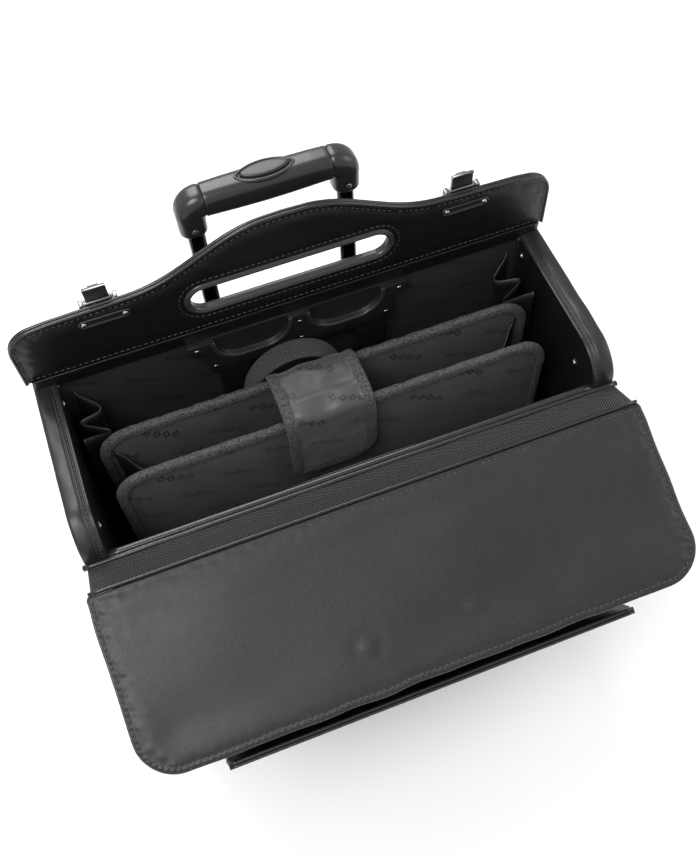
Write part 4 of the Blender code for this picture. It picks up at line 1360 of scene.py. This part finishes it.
def make_loop():
    """A ribbed webbing loop standing behind the sleeve."""
    low, high = local_box("webbing_loop")
    centre = (low[0] + high[0]) / 2
    wide, tall = (high[0] - low[0]) / 2 - 0.001, high[2] - low[2] - 0.001
    path = [(centre - wide * math.cos(t), low[2] + tall * math.sin(t)) for t in np.linspace(0, math.pi, 60)]
    run = run_of(path)[-1]
    across = np.linspace(low[1], high[1], 9)
    along = np.linspace(0, run, int(run / 0.00045))
    a, b = np.meshgrid(across, along)
    rib = 0.0011 * np.abs(np.sin(math.pi * b / 0.0032)) ** 0.6
    edge = np.minimum(a - across[0], across[-1] - a)
    top = 0.0008 + rib * rise(edge, -0.001, 0.0015) - 0.0004 * (edge < 0.0001)
    points, faces = grid_solid(across, along, top, -0.0009 - 0.4 * rib)
    points = bent(points, path)[:, [1, 0, 2]]
    piece("ribbed_loop", (points, faces), WEBBING, ["webbing_loop"])


# ---------------------------------------------------------------- front pocket


def make_front_pocket():
    low, high = local_box("front_pocket_panel", POCKET)
    half = high[0]
    outline = plate(half, low[2], high[2], 0.004, 0.012, 8)
    panel = Panel(outline, step=0.006)
    slack = ripples(panel.uv, 0.11, 71) * rise(panel.edge, 0.010, 0.04)
    front = low[1] + ease(panel.edge) - 0.0008 * rise(panel.edge, 0.010, 0.05) + 0.0004 * slack
    back = high[1] - 0.5 * ease(panel.edge) + 0.0003 * slack
    shape = panel.solid(back, front, across_y)
    piece(
        "pocket_front", shape, [INNER_LEATHER, LEATHER, BEAD_LEATHER],
        ["front_pocket_panel"], body="front_pocket", where=POCKET, index=panel.kinds,
    )
    seam = inset(outline, 0.0046)
    piece(
        "pocket_stitching", stitches(on_plane(seam, across_y, low[1] + 0.0006), (0, -1, 0), closed=True),
        THREAD, body="front_pocket", where=POCKET,
    )
    lip = [(-half + 0.002, 0, high[2]), (half - 0.002, 0, high[2])]
    lip = resample(np.array(lip) + (0, (low[1] + high[1]) / 2, 0), 0.006)
    rolls = [tube(lip + (0, shift, 0.0004), 0.0016, 12) for shift in (-0.0014, 0.0014)]
    piece("pocket_lip", merged(*rolls), BEAD_LEATHER, body="front_pocket", where=POCKET)

    for side, sign in SIDES:
        low, high = local_box(side + "_pocket_gusset")
        floor, top_z = low[2], high[2]
        foot_y, lip_y = -0.0345, low[1]

        def wedge(u, v, sign=sign, floor=floor, top_z=top_z, foot_y=foot_y, lip_y=lip_y):
            near = foot_y + (lip_y + 0.0012 - foot_y) * v
            y = near * (1 - u) - 0.0012 * u
            droop = 0.014 * math.sin(math.pi * u) * v
            tuck = 0.5 - 0.5 * math.cos(math.tau * u)
            x = 0.1765 - (0.004 + 0.020 * v) * tuck
            return sign * x, y, floor + (top_z - 0.002 - floor) * v - droop

        sheet = cloth_sheet(f"pocket_{side}_end", wedge, 36, 20, LEATHER)
        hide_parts(f"{side}_pocket_gusset")
        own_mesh(sheet)


# ---------------------------------------------------------------- trolley


def make_inner_plate():
    low, high = local_box("trolley_inner_plate")
    face, top = low[1], high[2]
    soften("trolley_inner_plate", 0.0007, PLASTIC)
    rims, screws = [], []
    for _, sign in SIDES:
        left, right, brim, floor, radius = 0.0095, 0.0785, top + 0.0004, -0.0325, 0.0245
        corners = [(left, brim, 0), (left, floor, radius), (right, floor, radius), (right, brim, 0)]
        line = np.array(rounded([(sign * x, z, turn) for x, z, turn in corners], 12))
        for width, out in ((0.0010, 0.0004), (0.0006, 0.0024)):
            middle = np.array((sign * 0.044, top))
            grown = middle + (line - middle) * (1 + out / 0.0345)
            grown[:, 1] = np.minimum(grown[:, 1], top - 0.0008)
            path = resample(grown, 0.0015)
            rims.append(tube(on_plane(path, across_y, face - 0.0001), width, 10, (0, 1, 0)))
        for x, z in ((0.082, -0.040), (0.095, -0.011)):
            screws.append(dome(0.0024, 0.0009, (sign * x, face, z), (0, -1, 0)))
    screws += [dome(0.0022, 0.0008, (0, face, z), (0, -1, 0)) for z in (-0.014, -0.038)]
    piece("plate_rims", merged(*rims), RING_PLASTIC)
    piece("plate_screws", merged(*screws), RIVET, sharp=50)


def make_back_cover():
    low, high = local_box("trolley_back_cover")
    half, back = high[0], high[1]
    outline = plate(half, low[2], high[2], 0.003, 0.003, 5)
    soften("trolley_back_cover", 0.0026, LEATHER, segments=4)
    soften("trolley_bezel", 0.0007, PLASTIC)
    soften("trolley_foot_bracket", 0.0008, GUNMETAL)
    seam = inset(outline, 0.0075)
    piece(
        "cover_stitching", stitches(on_plane(seam, across_y, back + 0.0001), (0, 1, 0), closed=True), THREAD
    )
    wall = local_box("back_wall")[1][1]
    foot = edge_sweep(outline, bead(0.0018, (0.0004, 0)), across_y, height=wall + 0.0017)
    piece("cover_piping", foot, BEAD_LEATHER)
    for side, _ in SIDES:
        soften(side + "_outer_tube", 0.0005, ALUMINIUM)


def make_tubes():
    """Black anodised tubes whose sides, rounded corners and ends get bright aluminium as a painted highlight."""
    for stage, body in (("middle", "trolley_lower"), ("inner", "trolley_upper")):
        for side, _ in SIDES:
            low, high = local_box(f"{side}_{stage}_tube")
            x, y = (low[0] + high[0]) / 2, (low[1] + high[1]) / 2
            a, b = (high[0] - low[0]) / 2, (high[1] - low[1]) / 2
            outside = rectangle((-a, a), (-b, b), 0.0028, 6)
            hollow = rectangle((-a + 0.0014, a - 0.0014), (-b + 0.0014, b - 0.0014), 0.0015, 6)
            count = len(outside)
            levels = (low[2], low[2] + 0.0004, high[2] - 0.0004, high[2])
            points = [(x + u, y + v, z) for z in levels for u, v in outside]
            points += [(x + u, y + v, z) for z in (levels[0], levels[-1]) for u, v in hollow]
            faces = skin(len(levels), count)[:-2]
            on_face = [abs(abs(v) - b) < 1e-6 for _, v in outside]
            flat = [on_face[j] and on_face[(j + 1) % count] for j in range(count)]
            # painted highlight: every face that is not on the flat front or back gets the bright metal
            bright = [1] * count + [0 if each else 1 for each in flat] + [1] * count
            for j in range(count):
                k = (j + 1) % count
                faces.append((4 * count + j, 5 * count + j, 5 * count + k, 4 * count + k))
                faces.append((j, 4 * count + j, 4 * count + k, k))
                faces.append((3 * count + j, 3 * count + k, 5 * count + k, 5 * count + j))
                bright += [1, 1, 1]
            piece(
                f"{side}_{stage}_rail", (np.array(points), faces), [TUBE_BLACK, ALUMINIUM],
                [f"{side}_{stage}_tube"], body=body, index=bright, sharp=40,
            )


def make_grip():
    bar_low, bar_high = local_box("grip_bar")
    low, high = bar_low[2], bar_high[2]
    tube_y, middle, seam = (bar_low[1] + bar_high[1]) / 2, (low + high) / 2, bar_high[0]
    reach, foot = local_box("right_grip_corner")[1][0], local_box("right_grip_corner")[0][2]
    leg = reach - 0.0118
    section = np.array(rectangle((-0.013, 0.013), (-0.013, 0.013), 0.0098, 7))

    # the middle piece, with a raised lip round the button
    between = np.linspace(-seam + 0.0012, seam - 0.0012, 40)
    stations = np.concatenate([[-seam, -seam + 0.0005], between, [seam - 0.0005, seam]])
    shrink = np.concatenate([[0.0008, 0.0002], np.zeros(40), [0.0002, 0.0008]])
    points = []
    for x, less in zip(stations, shrink):
        size = 1 - less / 0.013 + 0.085 * math.cos(x / seam * math.pi / 2) ** 1.2 - 0.03
        above = min(size, 1)
        points += [(x, tube_y + u * size, middle + v * (size if v < 0 else above)) for u, v in section]
    bar = np.array(points), skin(len(stations), len(section))
    slot = lens(0.0245, 0.0098, tube_y)
    lip = [(1.6, -1.5), (1.4, 0.2), (0.6, 1.1), (-0.4, 1.1), (-1.2, 0.3), (-1.3, -1.5)]
    collar = edge_sweep(slot, np.array(lip) * MM, height=high, spacing=0.0012)
    piece("grip_middle", merged(bar, collar), GRIP_PLASTIC, ["grip_bar"], body="trolley_upper", sharp=50)
    well = Panel(lens(0.0235, 0.0088, tube_y), step=0.003, rings=(0.001,))
    shape = well.solid(high + 0.00015, high - 0.001)
    piece("button_well", shape, PLASTIC, body="trolley_upper")

    # the two elbows, which turn down into the legs
    for side, sign in SIDES:
        turn = 0.0095
        line = [(seam + 0.0003, middle), (leg - turn, middle)]
        for t in np.linspace(0, math.pi / 2, 14)[1:]:
            line.append((leg - turn + turn * math.sin(t), middle - turn + turn * math.cos(t)))
        line += [(leg, foot + 0.008), (leg, foot + 0.001), (leg, foot)]
        line = resample(line, 0.0016)
        run = run_of(line)
        share = rise(run, 0.006, 0.034)
        wide = 0.0126 - 0.0008 * share
        deep = 0.0126 - 0.0002 * share
        end = np.minimum(run, run[-1] - run)
        lip = 1 - 0.07 * np.clip(1 - end / 0.001, 0, 1)
        outward = left_of(line)
        points = []
        for k in range(len(line)):
            for u, v in section / 0.013:
                spot = line[k] + outward[k] * v * wide[k] * lip[k]
                points.append((sign * min(spot[0], reach), tube_y + u * deep[k] * lip[k], spot[1]))
        shape = np.array(points), skin(len(line), len(section))
        piece(
            side + "_grip_elbow", shape, GRIP_PLASTIC, [side + "_grip_corner"],
            body="trolley_upper", sharp=50,
        )
        screw = [
            dome(0.0026, 0.0006, (sign * leg, tube_y + lean * 0.0123, foot + 0.007), (0, lean, 0))
            for lean in (-1, 1)
        ]
        piece(side + "_grip_screws", merged(*screw), STEEL, body="trolley_upper", sharp=50)

    # a domed button
    top = Panel(lens(0.0215, 0.0074, tube_y), step=0.002, rings=(0.0004, 0.0009, 0.0016, 0.0026))
    crown = high + 0.0028 - profile(top.edge, (0, 0.0014), (0.0004, 0.0007), (0.0009, 0.0003), (0.0026, 0.0))
    shape = top.solid(crown, high - 0.0002)
    piece("release_button", shape, PLASTIC, ["push_button"], body="push_button")
    soften("release_yoke", 0.0003, STEEL)


# ---------------------------------------------------------------- wheels


def lathe(profile_line, centre, sign, steps=72, wobble=None):
    """A closed (radius, x) profile turned about the axle. wobble(step, index) adds to the radius."""
    points = []
    for k in range(steps):
        angle = math.tau * k / steps
        for index, (radius, x) in enumerate(profile_line):
            grown = radius + (wobble(k, index) if wobble else 0)
            points.append((sign * x, grown * math.cos(angle), grown * math.sin(angle)))
    return np.array(points) + centre, skin(steps, len(profile_line), True)


def make_wheels():
    for side, sign in SIDES:
        low, high = local_box(side + "_tyre")
        centre = (low + high) / 2
        half = (high[0] - low[0]) / 2
        radius = (high[2] - low[2]) / 2
        rim = 0.0213
        groove = radius - 0.0014
        tread = [(rim, -half + 0.001), (radius - 0.0045, -half), (radius - 0.0015, -half + 0.0016)]
        tread += [(radius - 0.0002, -half + 0.0040), (radius, -0.0042), (radius, -0.0030)]
        tread += [(groove, -0.0026), (groove, -0.0014), (radius, -0.0010)]
        section = tread + [(r, -x) for r, x in reversed(tread)]
        first, last = 3, len(section) - 4

        def sipes(k, index, first=first, last=last):
            return -0.0009 if first <= index <= last and k % 6 == 0 else 0

        piece(
            side + "_wheel_tyre", lathe(section, centre, sign, 144, sipes), RUBBER, [side + "_tyre"],
            body=side + "_wheel", sharp=38,
        )

        face = half - 0.0016
        ring = [(rim, -face), (rim, face), (0.0198, face), (0.0188, face - 0.0012)]
        ring += [(0.0186, 0.0022), (0.0186, -0.0022), (0.0188, -face + 0.0012), (0.0198, -face)]
        boss = [(0.0044, 0.0003 - half), (0.0085, 0.0003 - half), (0.0098, 0.0018 - half)]
        boss += [(0.0102, 0)] + [(r, -x) for r, x in reversed(boss)]
        web = [(0.0096, -0.0016), (0.0190, -0.0016), (0.0190, 0.0016), (0.0096, 0.0016)]
        parts = [lathe(ring, centre, sign), lathe(boss, centre, sign), lathe(web, centre, sign)]
        for k in range(5):
            angle = math.tau * (k + 0.25) / 5
            blade = [(0.0088, -0.0030), (0.0192, -0.0018), (0.0192, 0.0018), (0.0088, 0.0030)]
            spoke = Panel(blade, step=0.003, rings=(0.0006,))
            thick = (face - 0.0012) - 0.0006 * (spoke.edge < 0.0003)
            points, faces = spoke.solid(thick, -thick)
            out, over, deep = points.T
            turned = np.c_[
                sign * deep,
                out * math.cos(angle) - over * math.sin(angle),
                out * math.sin(angle) + over * math.cos(angle),
            ]
            parts.append((turned + centre, faces))
        piece(side + "_wheel_hub", merged(*parts), PLASTIC, [side + "_hub"], body=side + "_wheel", sharp=38)

        soften(side + "_wheel_housing", 0.0011, PLASTIC)
        outer = local_box(side + "_wheel_housing")[1 if sign > 0 else 0][0]
        cap = [
            dome(0.0082, 0.0009, (outer, centre[1], centre[2]), (sign, 0, 0), 32),
            dome(0.0023, 0.0007, (outer, 0.1725, -0.3435), (sign, 0, 0)),
            dome(0.0023, 0.0007, (outer, 0.1725, -0.3105), (sign, 0, 0)),
        ]
        piece(side + "_housing_screws", merged(*cap), GUNMETAL, sharp=60)
    soften("wheel_axle", 0.0, STEEL)


# ---------------------------------------------------------------- the room


def make_room():
    floor = bpy.data.meshes.new("studio_floor")
    reach, ground = 40.0, -0.0001
    corners = [(x * reach, y * reach, ground) for x, y in ((-1, -1), (1, -1), (1, 1), (-1, 1))]
    floor.from_pydata(corners, [], [(0, 1, 2, 3)])
    sheet = bpy.data.objects.new("studio_floor", floor)
    bpy.context.scene.collection.objects.link(sheet)
    pale = Surface("pale_floor", (0.86, 0.86, 0.86), 0.75)
    pale.tint(pale.noise(0.8, 2), 0.985, 1.01)
    floor.materials.append(pale.material)

    world = bpy.data.worlds.new("studio")
    bpy.context.scene.world = world
    world.use_nodes = True
    world.node_tree.nodes["Background"].inputs["Color"].default_value = (1.0, 1.0, 1.0, 1)
    world.node_tree.nodes["Background"].inputs["Strength"].default_value = 0.80

    target = Vector((0, 0.05, 0.37))
    for name, spot, size, power in (
        ("key_softbox", (-0.80, -0.55, 1.95), 0.9, 24),
        ("top_softbox", (-0.10, 1.15, 1.65), 1.1, 24),
        ("fill_softbox", (1.6, -0.5, 1.1), 1.0, 7),
    ):
        lamp = bpy.data.lights.new(name, "AREA")
        lamp.shape = "SQUARE"
        lamp.size = size
        lamp.energy = power
        obj = bpy.data.objects.new(name, lamp)
        obj.location = spot
        obj.rotation_euler = (Vector(spot) - target).to_track_quat("Z", "Y").to_euler()
        bpy.context.scene.collection.objects.link(obj)


def make_camera():
    """Looks down into the open case from the front and a little to its left."""
    azimuth, elevation, roll = math.radians(-17.3), math.radians(59.7), math.radians(-3.8)
    back = Vector((
        math.sin(azimuth) * math.cos(elevation), -math.cos(azimuth) * math.cos(elevation), math.sin(elevation)
    ))
    across = Vector((0, 0, 1)).cross(back).normalized()
    above = back.cross(across)
    right = math.cos(roll) * across + math.sin(roll) * above
    turn = Matrix((right, back.cross(right), back)).transposed()
    lens = bpy.data.cameras.new("photo_angle")
    lens.sensor_width = 36
    lens.sensor_fit = "AUTO"
    lens.lens = 42.14
    lens.clip_start = 0.05
    camera = bpy.data.objects.new("photo_angle", lens)
    camera.matrix_world = Matrix.Translation(RIM @ Vector((-0.122, -0.370, 0.706))) @ turn.to_4x4()
    bpy.context.scene.collection.objects.link(camera)
    bpy.context.scene.camera = camera


make_front_lid()
make_front_rail()
make_carry_handle()
make_rear_lid()
make_rear_hinge()
make_sides()
make_corner_welts()
make_walls()
make_pad("sleeve_rear_padding", "sleeve_rear_pad", 81)
make_pad("sleeve_front_padding", "sleeve_front_pad", 91)
make_strap()
make_gussets()
make_loop()
make_front_pocket()
make_inner_plate()
make_back_cover()
make_tubes()
make_grip()
make_wheels()
make_room()
make_camera()

bpy.context.scene.view_settings.view_transform = "Standard"
